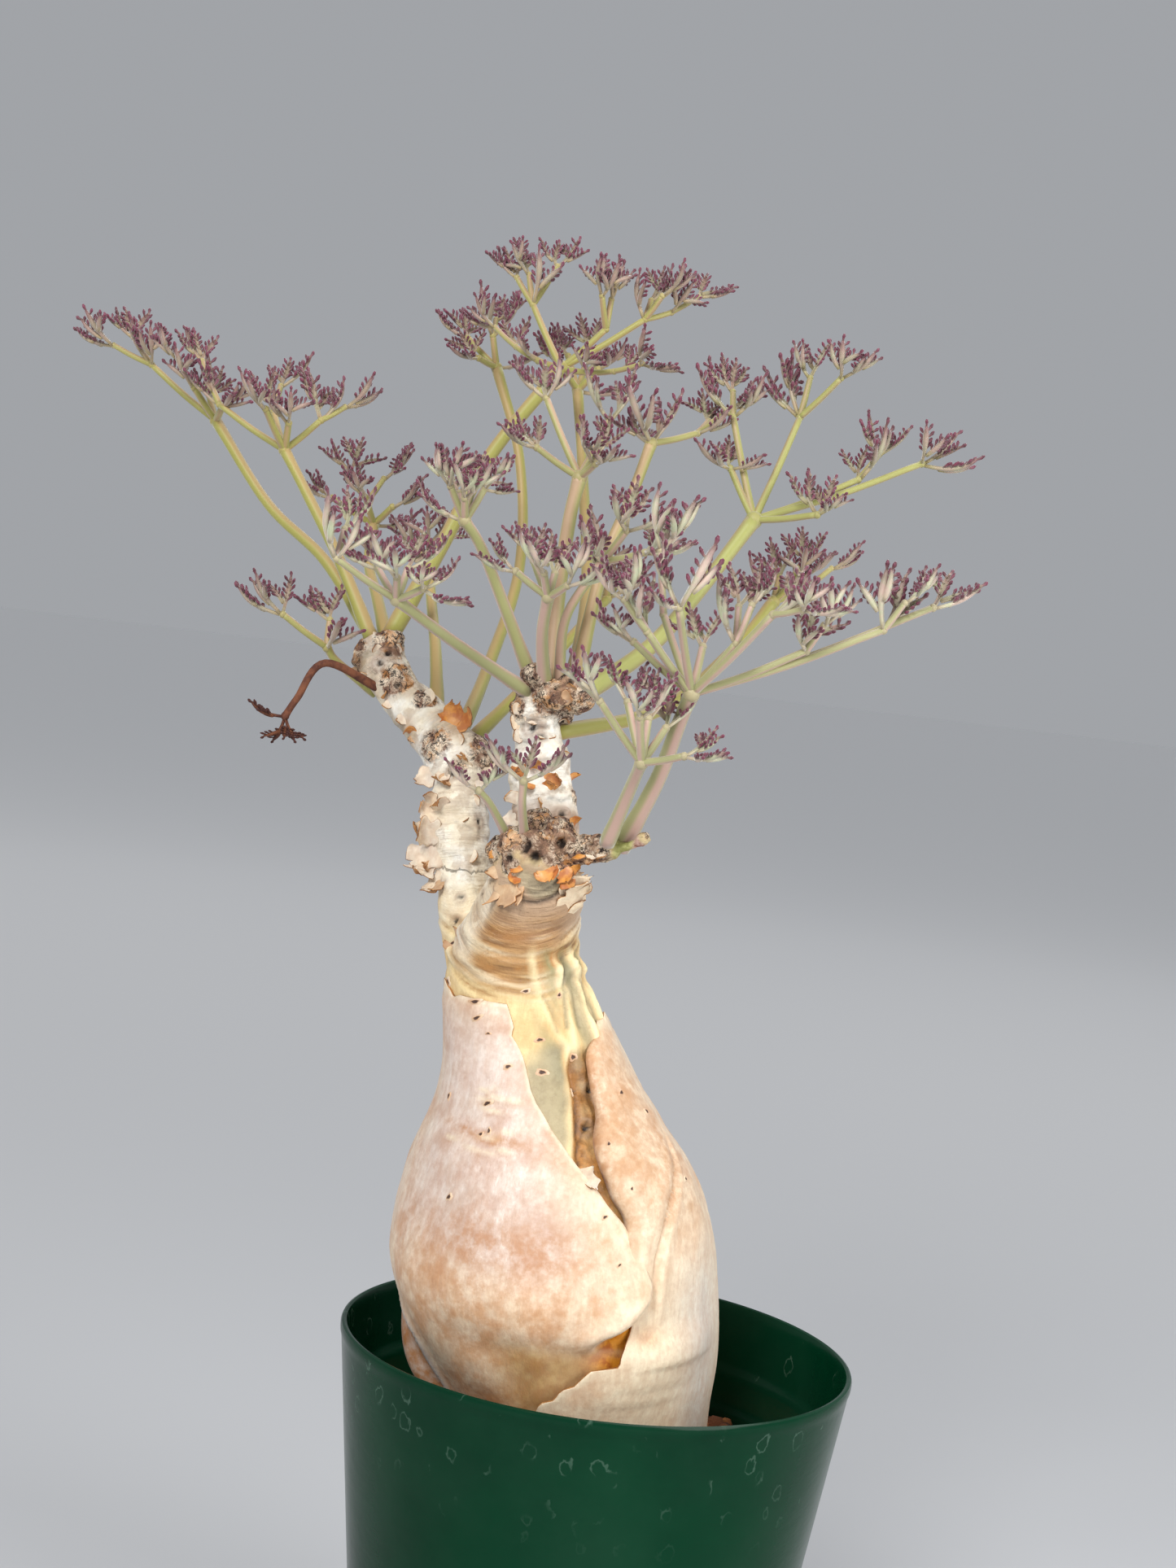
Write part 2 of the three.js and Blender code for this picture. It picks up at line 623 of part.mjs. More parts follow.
// A leaflet's local frame: along its run, across its width, and out of its inner face
function leafletFrame({ foot, run, across }) {
  const along = run.clone().normalize();
  const face = along.clone().cross(across).normalize();
  const bend = LEAFLET_BEND * run.length();
  const place = (share, u, v) =>
    foot
      .clone()
      .addScaledVector(run, share)
      .addScaledVector(across, u)
      .addScaledVector(face, v - bend * share * share);
  return { place };
}

// A ring of four points across a leaflet, wide on its inner face and narrow on its keel
function leafletRing(leaflet, [share, width], fat) {
  const { place } = leafletFrame(leaflet);
  const wide = width * BLADE_HALF_WIDTH + fat;
  const narrow = wide * KEEL_SHARE;
  const keel = -BLADE_KEEL - fat;
  return [
    place(share, -narrow, keel),
    place(share, narrow, keel),
    place(share, wide, fat),
    place(share, -wide, fat),
  ];
}

const leafletTip = (leaflet) => leafletFrame(leaflet).place(1, 0, -BLADE_KEEL / 2);

// A skin that grows ring by ring into one closed surface. A port is a loop of its points,
// anticlockwise seen from outside, from which it can grow on or at which it is closed.
class Skin {
  constructor() {
    this.points = [];
    this.triangles = [];
  }

  addRing(ring) {
    return ring.map((point) => this.points.push(point) - 1);
  }

  sidePort(lower, upper, i) {
    const j = (i + 1) % lower.length;
    return [lower[i], lower[j], upper[j], upper[i]];
  }

  close(port) {
    for (let i = 1; i + 1 < port.length; i += 1) this.triangles.push(port[0], port[i], port[i + 1]);
  }

  // Grows a port on to a ring, which is turned to the start that twists the skin least
  grow(port, ring) {
    const off = (index, i, turn) => this.points[index].distanceToSquared(ring[(i + turn) % ring.length]);
    const twist = (turn) => port.reduce((sum, index, i) => sum + off(index, i, turn), 0);
    const turns = ring.map((_, turn) => turn);
    const best = turns.reduce((a, b) => (twist(b) < twist(a) ? b : a));
    const next = this.addRing(ring.map((_, i) => ring[(i + best) % ring.length]));
    port.forEach((_, i) => this.close(this.sidePort(port, next, i)));
    return next;
  }

  growToTip(port, point) {
    const tip = this.points.push(point) - 1;
    port.forEach((index, i) => this.triangles.push(index, port[(i + 1) % port.length], tip));
  }

  solid() {
    return triangleSolid(this.points, this.triangles);
  }
}

function growLeaflet(skin, port, leaflet, fat) {
  let last = port;
  for (const row of LEAFLET_OUTLINE) last = skin.grow(last, leafletRing(leaflet, row, fat));
  skin.growToTip(last, leafletTip(leaflet));
}

// A leaflet by itself, used to test where it is clear
function looseLeaflet(leaflet, fat) {
  const skin = new Skin();
  const foot = skin.addRing(leafletRing(leaflet, LEAFLET_FOOT, fat));
  skin.close([...foot].reverse());
  growLeaflet(skin, foot, leaflet, fat);
  return skin.solid();
}

// The outer share of a leaflet, clear of the joint that it shares with its neighbours
function outerPart({ foot, run, across }) {
  const from = 0.3;
  const outerFoot = foot.clone().addScaledVector(run, from);
  return { foot: outerFoot, run: run.clone().multiplyScalar(1 - from), across };
}

// The direction of a leaflet's width: near the plane of its arm, turned a little by chance,
// with the inner face towards the sky
function acrossOf(run, outward, seed) {
  const sideways = outward.clone().cross(UP).normalize();
  const turn = (chance(seed) - 0.5) * LEAFLET_TURN_BY_CHANCE;
  const inPlane = outward.clone().multiplyScalar(0.8).addScaledVector(sideways, turn);
  const across = inPlane.addScaledVector(run, -inPlane.dot(run) / run.lengthSq()).normalize();
  return run.clone().cross(across).z < 0 ? across.negate() : across;
}

// Plans the arms of one leaf as a tree of joints and leaflets. A long arm carries
// leaflets on alternate sides on the way to its last one.
function planArms(start, arms, count) {
  return arms.map((arm, index) => {
    const target = at(arm.knee ?? arm);
    const run = target.clone().sub(start);
    const outward = run.clone().normalize();
    const number = count * 7 + index;
    if (arm.knee) return { point: target, children: planArms(target, arm.tips, number + 1) };
    if (run.length() > LONGEST_BLADE) return planLongArm(start, target, outward, number);
    const foot = start.clone().addScaledVector(outward, FOOT_OUT);
    return { leaflet: { foot, run: target.clone().sub(foot), outward } };
  });
}

function planLongArm(start, target, outward, number) {
  const end = target.clone().addScaledVector(outward, -BLADE_LENGTH);
  const count = Math.max(1, Math.round(start.distanceTo(end) / BLADE_SPACING));
  const side = outward.clone().cross(UP).normalize();
  const foot = end.clone().addScaledVector(outward, FOOT_OUT);
  let next = { leaflet: { foot, run: target.clone().sub(foot), outward } };
  for (let i = count; i > 0; i -= 1) {
    const share = i / count;
    const point = start.clone().lerp(end, share);
    point.z -= ARM_SAG * start.distanceTo(end) * 4 * share * (1 - share);
    const hand = (i + number) % 2 === 0 ? 1 : -1;
    const run = outward
      .clone()
      .multiplyScalar(SIDE_LEAFLET_RUN.outward)
      .addScaledVector(UP, SIDE_LEAFLET_RUN.up)
      .addScaledVector(side, SIDE_LEAFLET_RUN.sideways * hand)
      .setLength(BLADE_LENGTH * THREE.MathUtils.lerp(...SIDE_LEAFLET_LENGTHS, chance(number + i)));
    const own = { leaflet: { foot: point.clone(), run, outward } };
    next = { point, children: [next, own] };
  }
  return next;
}

const directionOf = (child, from) =>
  child.leaflet ? child.leaflet.run.clone().normalize() : child.point.clone().sub(from).normalize();

// A joint's two rings around a direction, with corners at given bearings about it
function jointRings(point, along, first, bearings, radius, halfHeight) {
  const e1 = first.clone().addScaledVector(along, -first.dot(along)).normalize();
  const e2 = along.clone().cross(e1);
  return [-halfHeight, halfHeight].map((lift) =>
    bearings.map((bearing) =>
      point
        .clone()
        .addScaledVector(along, lift)
        .addScaledVector(e1, Math.cos(bearing) * radius)
        .addScaledVector(e2, Math.sin(bearing) * radius),
    ),
  );
}

function bearingAbout(along, first, direction) {
  const e1 = first.clone().addScaledVector(along, -first.dot(along)).normalize();
  const e2 = along.clone().cross(e1);
  return Math.atan2(direction.dot(e2), direction.dot(e1));
}

// Cosine of the widest angle at which an arm counts as going straight on at a joint
const STRAIGHT_ON = 0.55;

const FULL_TURN = Math.PI * 2;
const wrap = (angle) => THREE.MathUtils.euclideanModulo(angle, FULL_TURN);

// Gives each child the free side whose middle is nearest to its bearing
function shareSides(bearings, middles) {
  const free = new Set(middles.keys());
  const sides = new Map();
  bearings.forEach((bearing, child) => {
    const off = (side) => Math.abs(wrap(bearing - middles[side] + Math.PI) - Math.PI);
    const side = [...free].reduce((a, b) => (off(b) < off(a) ? b : a));
    free.delete(side);
    sides.set(side, child);
  });
  return sides;
}

// Grows a joint from a port: one child may go straight on, the others leave by its sides
function growJoint(skin, port, from, point, children, radius) {
  const along = point.clone().sub(from).normalize();
  const runs = children.map((child) => directionOf(child, point));
  const isHub = port.length > 4 || children.length > 4;
  const headings = runs.map((run) => run.dot(along));
  const straightest = Math.max(...headings);
  const ahead = !isHub && straightest > STRAIGHT_ON ? headings.indexOf(straightest) : -1;
  const sideways = children.map((_, i) => i).filter((i) => i !== ahead);
  const first = runs[sideways[0]] ?? UP.clone().cross(along);
  const bearings = sideways.map((i) => bearingAbout(along, first, runs[i]));
  const { corners, middles } = cornersOf(bearings, port.length);
  const [low, high] = jointRings(point, along, first, corners, radius, radius * 0.8);
  const lower = skin.grow(port, low);
  const upper = skin.addRing(lower.map((_, i) => matchingCorner(skin, lower[i], low, high)));
  const turn = low.findIndex((corner) => corner.equals(skin.points[lower[0]]));
  const sides = shareSides(bearings, middles);
  lower.forEach((_, i) => {
    const side = skin.sidePort(lower, upper, i);
    const child = sides.get((i + turn) % corners.length);
    if (child === undefined) skin.close(side);
    else growChild(skin, side, point, children[sideways[child]]);
  });
  if (ahead < 0) skin.close(upper);
  else growChild(skin, upper, point, children[ahead]);
}

function matchingCorner(skin, index, low, high) {
  return high[low.findIndex((corner) => corner.equals(skin.points[index]))];
}

// Corner bearings of a joint, half way between its children where it has one side for
// each, and evenly spaced otherwise
function cornersOf(bearings, count) {
  if (bearings.length < count) {
    const step = FULL_TURN / count;
    const middles = Array.from({ length: count }, (_, i) => i * step);
    return { middles, corners: middles.map((middle) => middle - step / 2) };
  }
  const sorted = bearings.map(wrap).sort((a, b) => a - b);
  const even = sorted.map((_, i) => sorted[0] + (i * FULL_TURN) / count);
  const middles = sorted.map((bearing, i) => THREE.MathUtils.lerp(bearing, even[i], HUB_EVENING));
  const corners = middles.map((middle, i) => {
    const before = middles[(i + count - 1) % count] - (i === 0 ? FULL_TURN : 0);
    return (middle + before) / 2;
  });
  return { middles, corners };
}

function growChild(skin, port, from, child) {
  if (child.leaflet) growLeaflet(skin, port, child.leaflet, 0);
  else growJoint(skin, port, from, child.point, child.children, ARM_RADIUS);
}

// The stalk as rings with a corner for each arm, then its hub and all that grows from it
function growLeaf({ leaf, radius, children }) {
  const skin = new Skin();
  const curve = new THREE.CatmullRomCurve3(leaf.stalk.map(at));
  const count = Math.max(4, children.length);
  const steps = leaf.stalk.length * 2 - 3;
  const frames = curve.computeFrenetFrames(steps, false);
  let port;
  for (let step = 0; step < steps; step += 1) {
    const width = radius * THREE.MathUtils.lerp(...STALK_TAPER, step / steps);
    const ring = Array.from({ length: count }, (_, i) => {
      const angle = (i / count) * FULL_TURN;
      return curve
        .getPoint(step / steps)
        .addScaledVector(frames.normals[step], Math.cos(angle) * width)
        .addScaledVector(frames.binormals[step], Math.sin(angle) * width);
    });
    port = port ? skin.grow(port, ring) : skin.addRing(ring);
    if (step === 0) skin.close([...port].reverse());
  }
  growJoint(skin, port, curve.getPoint((steps - 1) / steps), at(leaf.stalk.at(-1)), children, radius);
  return skin.solid();
}

// The limbs of a planned leaf as plain tubes, used to test what crosses them
function testLimbs(from, children) {
  return children.flatMap((child) => {
    if (child.leaflet) return [];
    const line = new THREE.LineCurve3(from, child.point);
    const tube = limb(line, [ARM_RADIUS, ARM_RADIUS], TWIG_SIDES, 1);
    return [tube, ...testLimbs(child.point, child.children)];
  });
}

function planLeaf(leaf, index) {
  const radius = leaf.stalkRadius ?? STALK_RADIUS;
  const hub = at(leaf.stalk.at(-1));
  const children = planArms(hub, leaf.arms, index + 1);
  const curve = new THREE.CatmullRomCurve3(leaf.stalk.map(at));
  const stalk = limb(curve, STALK_TAPER.map((share) => radius * share), TWIG_SIDES, TWIG_SIDES);
  return { leaf, radius, children, limbs: joinAll([stalk, ...testLimbs(hub, children)]), blades: [] };
}

function boxesMeet(a, b) {
  const [p, q] = [a.boundingBox(), b.boundingBox()];
  return [0, 1, 2].every((axis) => p.min[axis] <= q.max[axis] && q.min[axis] <= p.max[axis]);
}

const crosses = (a, b) => boxesMeet(a, b) && !a.intersect(b).isEmpty();

// Turns a leaflet about its arm as far as it takes to be clear of the trunk, of other
// leaves and of its own neighbours. Returns nothing where it never is.
function clearLeaflet(own, { foot, run, outward }, seed, others, seat) {
  for (const turn of LEAFLET_TURNS) {
    const turned = run.clone().applyAxisAngle(outward, turn);
    const leaflet = { foot, run: turned, across: acrossOf(turned, outward, seed) };
    const grown = looseLeaflet(leaflet, LEAFLET_CLEARANCE);
    const meets = (solid) => crosses(grown, solid);
    if (meets(seat)) continue;
    if (others.some((other) => meets(other.limbs) || other.blades.some(meets))) continue;
    const outer = looseLeaflet(outerPart(leaflet), 0);
    if (crosses(outer, own.limbs) || own.blades.some((blade) => crosses(outer, blade))) continue;
    own.blades.push(looseLeaflet(leaflet, 0));
    return leaflet;
  }
  return undefined;
}

// Keeps the children of a leaf whose leaflets are clear
function clearChildren(own, children, seed, others, seat) {
  return children.flatMap((child, index) => {
    const number = seed * 5 + index;
    if (!child.leaflet) {
      return [{ point: child.point, children: clearChildren(own, child.children, number, others, seat) }];
    }
    const leaflet = clearLeaflet(own, child.leaflet, number, others, seat);
    return leaflet ? [{ leaflet }] : [];
  });
}

function makeLeaves(seat) {
  const plans = LEAVES.map(planLeaf);
  plans.forEach((own, index) => {
    const others = plans.filter((other) => other !== own);
    own.children = clearChildren(own, own.children, index + 1, others, seat);
  });
  return plans.map((plan) => ({ leaf: plan.leaf, solid: mainBody(growLeaf(plan).subtract(seat)) }));
}

function addPiece(group, name, solid, finish) {
  const mesh = new THREE.Mesh(geometryOf(solid), new THREE.MeshStandardMaterial(finish));
  mesh.name = name;
  group.add(mesh);
}

const plant = new THREE.Group();
const seat = makeTrunk(GAP);
addPiece(plant, "pot", makePot(), FINISHES.pot);
addPiece(plant, "soil", mainBody(makeSoil(seat)), FINISHES.soil);
addPiece(plant, "caudex_and_stems", mainBody(makeTrunk(0)), FINISHES.caudex);
for (const { leaf, solid } of makeLeaves(seat)) {
  addPiece(plant, leaf.name, solid, leaf.dried ? FINISHES.leaf_dried : FINISHES.leaf);
}

export default plant;
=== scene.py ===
# %% [markdown]
# # Dressing a potted cyphostemma
#
# The plant is a caudex: a bottle of watery tissue that stands half out of the soil. Its
# thin outer bark splits and peels as it swells, three short scarred stems stand on its
# neck, and each leaf is a stalk with arms that end in small, finely toothed leaflets.
#
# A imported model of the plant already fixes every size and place. This notebook builds the
# surfaces that the eye sees, in the same frame: +Z runs up the pot's axis, +X is to the
# right as the plant is seen from its front, and +Y is away from that viewer.

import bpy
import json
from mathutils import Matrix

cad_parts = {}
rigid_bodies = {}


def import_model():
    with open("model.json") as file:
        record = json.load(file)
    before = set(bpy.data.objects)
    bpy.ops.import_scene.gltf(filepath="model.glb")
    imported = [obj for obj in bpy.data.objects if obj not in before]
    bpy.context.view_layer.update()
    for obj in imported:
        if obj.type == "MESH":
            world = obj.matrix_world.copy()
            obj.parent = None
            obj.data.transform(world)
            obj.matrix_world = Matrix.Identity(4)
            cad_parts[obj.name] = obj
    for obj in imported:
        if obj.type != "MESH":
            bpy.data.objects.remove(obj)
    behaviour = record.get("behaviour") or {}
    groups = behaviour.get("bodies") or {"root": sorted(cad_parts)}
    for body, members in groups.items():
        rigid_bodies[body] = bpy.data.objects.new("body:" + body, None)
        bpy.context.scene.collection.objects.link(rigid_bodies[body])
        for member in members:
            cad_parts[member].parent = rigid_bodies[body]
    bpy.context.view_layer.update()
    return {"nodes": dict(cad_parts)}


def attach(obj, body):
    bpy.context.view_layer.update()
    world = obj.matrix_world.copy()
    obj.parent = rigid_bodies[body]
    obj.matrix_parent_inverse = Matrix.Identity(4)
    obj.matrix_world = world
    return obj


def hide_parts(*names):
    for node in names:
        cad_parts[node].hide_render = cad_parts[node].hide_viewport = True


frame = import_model()
print("nodes in the frame:", len(frame["nodes"]))

# %% [markdown]
# ## Tools of the bench
#
# Nearly every form here is grown from rings of points: a pot, a stem, a leaf stalk, a
# tooth. Modifiers on primitives could do some of them, but a ring of points can be
# shaped and marked row by row, so the notebook models in numpy arrays, in millimetres,
# and turns them into a Blender mesh at the end. A *mark* is a number on each point that
# says how far it is of some kind, such as how near a tooth's tip it is. The materials
# read the marks, which is how a colour can follow the form.

# %% Numbers and noise
import json
import math

import bmesh
import bpy
import numpy as np
from mathutils import Euler, Matrix, Vector
from mathutils.bvhtree import BVHTree

MM = 0.001
FULL_TURN = 2 * math.pi
UP = np.array([0.0, 0.0, 1.0])


def scrambled(value):
    """The last digits of a large multiple of a value, as a share from 0 to 1."""
    value = value * 43758.5453
    return value - np.floor(value)


def chance(seed):
    """A repeatable stand-in for chance, from 0 to 1."""
    return float(scrambled(math.sin(seed * 12.9898 + 4.1)))


def unit(vectors):
    """Vectors made one long."""
    vectors = np.asarray(vectors, float)
    return vectors / np.linalg.norm(vectors, axis=-1, keepdims=True)


def ease(low, high, value):
    """0 at low and beyond, 1 at high and beyond, and smooth between them."""
    share = np.clip((np.asarray(value, float) - low) / (high - low), 0, 1)
    return share * share * (3 - 2 * share)


def within(low, high, fade, value):
    """1 between low and high, with soft ends."""
    return ease(low - fade, low + fade, value) * (1 - ease(high - fade, high + fade, value))


def bump(middle, width, value):
    """1 at middle, falling to nothing about two widths away."""
    return np.exp(-(((np.asarray(value, float) - middle) / width) ** 2))


def ripple(points, size, seed=0.0):
    """Smooth noise from -1 to 1 at each point, with bumps about size apart."""
    scaled = np.asarray(points, float) / size + 31.7 * seed
    cell = np.floor(scaled)
    share = scaled - cell
    share = share * share * (3 - 2 * share)
    total = np.zeros(scaled.shape[:-1])
    for corner in np.ndindex(2, 2, 2):
        weight = np.prod(np.where(np.array(corner) == 1, share, 1 - share), axis=-1)
        total += weight * scrambled(np.sin((cell + corner) @ [12.9898, 78.233, 37.719]))
    return 2 * total - 1


def ripple_along(values, size, seed=0.0):
    """The same noise along one number."""
    return ripple(np.stack([values, values * 0, values * 0], -1), size, seed)


print("noise at the origin:", round(float(ripple(np.zeros((1, 3)), 1.0)[0]), 3))

# %% Clay: a piece while it is being modelled
class Clay:
    """Points, faces and marks of one piece, in millimetres."""

    def __init__(self, *marks):
        self.points, self.faces, self.finishes = [], [], []
        self.marks = {name: [] for name in marks}
        self.count = 0

    def add(self, points, fronts, backs=(), **marks):
        """Adds points, and blocks of faces that count from the first of them.

        The backs take the piece's second material.
        """
        points = np.asarray(points, float).reshape(-1, 3)
        for finish, blocks in enumerate((fronts, backs)):
            for block in blocks:
                self.faces.append(np.asarray(block) + self.count)
                self.finishes.append(np.full(len(block), finish))
        for name, values in self.marks.items():
            values.append(np.broadcast_to(np.asarray(marks.get(name, 0.0), float), len(points)))
        self.points.append(points)
        self.count += len(points)

    def all_points(self):
        return np.concatenate(self.points)

    def mesh(self, name, scale=MM):
        """The finished mesh, in metres unless another scale is asked for."""
        mesh = bpy.data.meshes.new(name)
        faces = [tuple(face) for block in self.faces for face in block.tolist()]
        mesh.from_pydata((self.all_points() * scale).tolist(), [], faces)
        mesh.polygons.foreach_set("material_index", np.concatenate(self.finishes))
        for mark, values in self.marks.items():
            layer = mesh.attributes.new(mark, "FLOAT", "POINT")
            layer.data.foreach_set("value", np.concatenate(values).astype(np.float32))
        return mesh


def add_object(name, data):
    """A new object in the scene."""
    added = bpy.data.objects.new(name, data)
    bpy.context.scene.collection.objects.link(added)
    return added


def settled(holder, *tools):
    """The mesh that an object's modifiers make of it. It and the tools are cleared away."""
    graph = bpy.context.evaluated_depsgraph_get()
    mesh = bpy.data.meshes.new_from_object(holder.evaluated_get(graph))
    for used in (holder, *tools):
        bpy.data.objects.remove(used)
    return mesh


def put_up(name, mesh, materials, slot, *nodes, sharp_over=None):
    """Shows a finished mesh in place of nodes of the fixed frame."""
    for material in materials:
        mesh.materials.append(material)
    mesh.shade_smooth()
    if sharp_over:
        mesh.set_sharp_from_angle(angle=math.radians(sharp_over))
    piece = add_object(name, mesh)
    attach(piece, "root")
    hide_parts(*nodes)
    print(f"{name}: {sum(len(polygon.vertices) - 2 for polygon in mesh.polygons)} triangles")

# %% Rings, tubes and paths
def bearings(sides):
    """Bearings spread evenly over a full turn."""
    return np.arange(sides) / sides * FULL_TURN


def sheet_faces(rows, columns, closed=False):
    """Quads between rows of points, which may be closed around."""
    row = np.arange(rows - 1)[:, None] * columns
    column = np.arange(columns if closed else columns - 1)[None, :]
    following = (column + 1) % columns
    quads = [row + column, row + following, row + following + columns, row + column + columns]
    return np.stack(quads, -1).reshape(-1, 4)


def tube_faces(rows, columns):
    """The wall of a tube and its two caps, each cap one face."""
    ring = np.arange(columns)
    caps = ring[::-1][None, :], (ring + (rows - 1) * columns)[None, :]
    return [sheet_faces(rows, columns, closed=True), *caps]


def smooth_path(points, steps):
    """A smooth path through all the points, with steps stretches of equal parameter."""
    points = np.asarray(points, float)
    ends = np.array([2 * points[0] - points[1], *points, 2 * points[-1] - points[-2]])
    along = np.linspace(0, len(points) - 1, steps + 1)
    start = np.minimum(along.astype(int), len(points) - 2)
    t = (along - start)[:, None]
    a, b, c, d = (ends[start + i] for i in range(4))
    square, cube = 2 * a - 5 * b + 4 * c - d, 3 * b - a - 3 * c + d
    return 0.5 * (2 * b + (c - a) * t + square * t**2 + cube * t**3)


def tube_points(path, radii, sides, profile=None):
    """Rings of points around a path. profile scales the radius at each bearing."""
    tangents = unit(np.gradient(path, axis=0))
    across = UP if abs(tangents[0] @ UP) < 0.9 else np.array([0.0, -1.0, 0.0])
    firsts = []
    for tangent in tangents:
        across = unit(across - tangent * (across @ tangent))
        firsts.append(across)
    seconds = np.cross(tangents, firsts)
    bearing = bearings(sides)
    reach = np.broadcast_to(radii, len(path))[:, None] * (profile(bearing) if profile else 1)
    reach = np.broadcast_to(reach, (len(path), sides))[..., None]
    ring = np.array(firsts)[:, None] * np.cos(bearing)[None, :, None]
    ring = ring + seconds[:, None] * np.sin(bearing)[None, :, None]
    return path[:, None] + ring * reach


def add_tube(clay, path, radii, sides, profile=None, **marks):
    """Adds a closed tube along a path, with marks that may differ from row to row."""
    marks = {name: np.repeat(np.broadcast_to(value, len(path)), sides) for name, value in marks.items()}
    clay.add(tube_points(path, radii, sides, profile), tube_faces(len(path), sides), **marks)


def add_ball(clay, centre, radius, rows, sides, pole, **marks):
    """Adds a ball of rings. pole is the angle from its axis to the first ring."""
    lean = np.linspace(pole, math.pi - pole, rows)
    path = np.array(centre) + np.outer(-np.cos(lean) * radius, UP)
    add_tube(clay, path, np.sin(lean) * radius, sides, **marks)


print("a short test path:", smooth_path([(0, 0, 0), (1, 0, 0), (1, 1, 0)], 4).shape)

# %% [markdown]
# ## Finishes
#
# Plant surfaces are never one colour: bark is mottled and stained, a stalk turns from
# olive to pink, a pot is spotted with lime. An image could carry that, but it would need
# unwrapping and would blur when seen close. Noise that is read in the object's own
# coordinates has neither fault, so every finish is a tree of nodes. Effects that several
# finishes share are node groups, built once, that give out a mask or a normal.

# %% A bench for node trees
def from_screen(red, green, blue):
    """A colour as a screen gives it, from 0 to 255, as the linear colour that nodes use."""
    values = [channel / 255 for channel in (red, green, blue)]
    linear = [v / 12.92 if v <= 0.04045 else ((v + 0.055) / 1.055) ** 2.4 for v in values]
    return (*linear, 1.0)


class Bench:
    """A node tree with short ways to add nodes to it. Plain colours are screen colours."""

    def __init__(self, tree):
        self.tree = tree

    def add(self, kind, inputs=None, **settings):
        node = self.tree.nodes.new("ShaderNode" + kind)
        for name, value in settings.items():
            setattr(node, name, value)
        for name, value in (inputs or {}).items():
            self.feed(node.inputs[name], value)
        return node

    def feed(self, socket, value):
        """Links a socket, or sets its value where there is nothing to link."""
        if isinstance(value, bpy.types.NodeSocket):
            self.tree.links.new(value, socket)
        else:
            is_colour = socket.type == "RGBA" and len(value) == 3
            socket.default_value = from_screen(*value) if is_colour else value

    def sum_of(self, operation, *values):
        """The result of a Math node."""
        return self.add("Math", dict(enumerate(values)), operation=operation).outputs[0]

    def product(self, first, second):
        return self.sum_of("MULTIPLY", first, second)

    def scaled(self, value, factor, offset=0.0, clamp=False):
        """A value times a factor and moved by an offset, kept from 0 to 1 if clamped."""
        inputs = {0: value, 1: factor, 2: offset}
        return self.add("Math", inputs, operation="MULTIPLY_ADD", use_clamp=clamp).outputs[0]

    def mixed(self, share, first, second):
        """One colour laid over another by a share from 0 to 1."""
        node = self.add("Mix", data_type="RGBA")
        for number, value in ((0, share), (6, first), (7, second)):
            self.feed(node.inputs[number], value)
        return node.outputs[2]

    def coats(self, tone, *layers):
        """Layers over a tone, one after another, each a share, its strength and a colour."""
        for share, strength, colour in layers:
            tone = self.mixed(share if strength == 1 else self.product(share, strength), tone, colour)
        return tone

    def marks(self, *names):
        """Marks of the piece, by name, as values."""
        return {name: self.add("Attribute", attribute_name=name).outputs["Fac"] for name in names}

    def ramp(self, value, *stops):
        """Colours along a value, from stops of place and colour."""
        node = self.add("ValToRGB", {"Fac": value})
        elements = node.color_ramp.elements
        for i, (place, colour) in enumerate(stops):
            element = elements[i] if i < 2 else elements.new(place)
            element.position, element.color = place, from_screen(*colour)
        return node.outputs["Color"]

    def smooth_range(self, value, **limits):
        """A value brought from one range to another with soft ends."""
        inputs = {"Value": value} | {name.replace("_", " "): limit for name, limit in limits.items()}
        return self.add("MapRange", inputs, interpolation_type="SMOOTHSTEP").outputs[0]

    def group(self, name, **inputs):
        """A placed copy of a shared effect."""
        return self.add("Group", inputs, node_tree=bpy.data.node_groups[name]).outputs[0]

    def mottlings(self, *forms):
        """Placed copies of the mottling, each with its size, sharpness and seed."""
        names = "Size", "Sharpness", "Seed"
        return [self.group("mottling", **dict(zip(names, form))) for form in forms]


class Finish(Bench):
    """A new material with its shader."""

    def __init__(self, name):
        self.material = bpy.data.materials.new(name)
        self.material.use_nodes = True
        super().__init__(self.material.node_tree)

    def done(self, **inputs):
        """Feeds the shader and gives back the material."""
        shader = self.tree.nodes["Principled BSDF"]
        for name, value in inputs.items():
            self.feed(shader.inputs[name.replace("_", " ")], value)
        return self.material


print("pot green as nodes use it:", [round(v, 3) for v in from_screen(0, 55, 32)])

# %% [markdown]
# ### Shared effects
#
# *Mottling* is soft noise pressed into patches, for stains and blotches. *Fibres* is the
# same noise drawn out along the height, for the grain of peeling bark. *Relief* turns
# noise into a fine bump. *Fissures* are the narrow cracks of old bark, *contours* are the
# swirling growth lines of a twig or a dried scrap, and *lime rings* are the outlines that
# drops of hard water leave on plastic. All sizes are in millimetres, so that they can be
# set from what the real surface measures.

# %% Build the shared effects
def effect(output="Mask", kind="NodeSocketFloat", **inputs):
    """Builds a shared effect from the function below it, which works out its one result."""

    def build(work_out):
        tree = bpy.data.node_groups.new(work_out.__name__, "ShaderNodeTree")
        for name, value in inputs.items():
            socket = tree.interface.new_socket(name, in_out="INPUT", socket_type="NodeSocketFloat")
            socket.default_value = value
        tree.interface.new_socket(output, in_out="OUTPUT", socket_type=kind)
        bench = Bench(tree)
        given = tree.nodes.new("NodeGroupInput").outputs[:-1]
        bench.feed(tree.nodes.new("NodeGroupOutput").inputs[0], work_out(bench, *given))
        return work_out

    return build


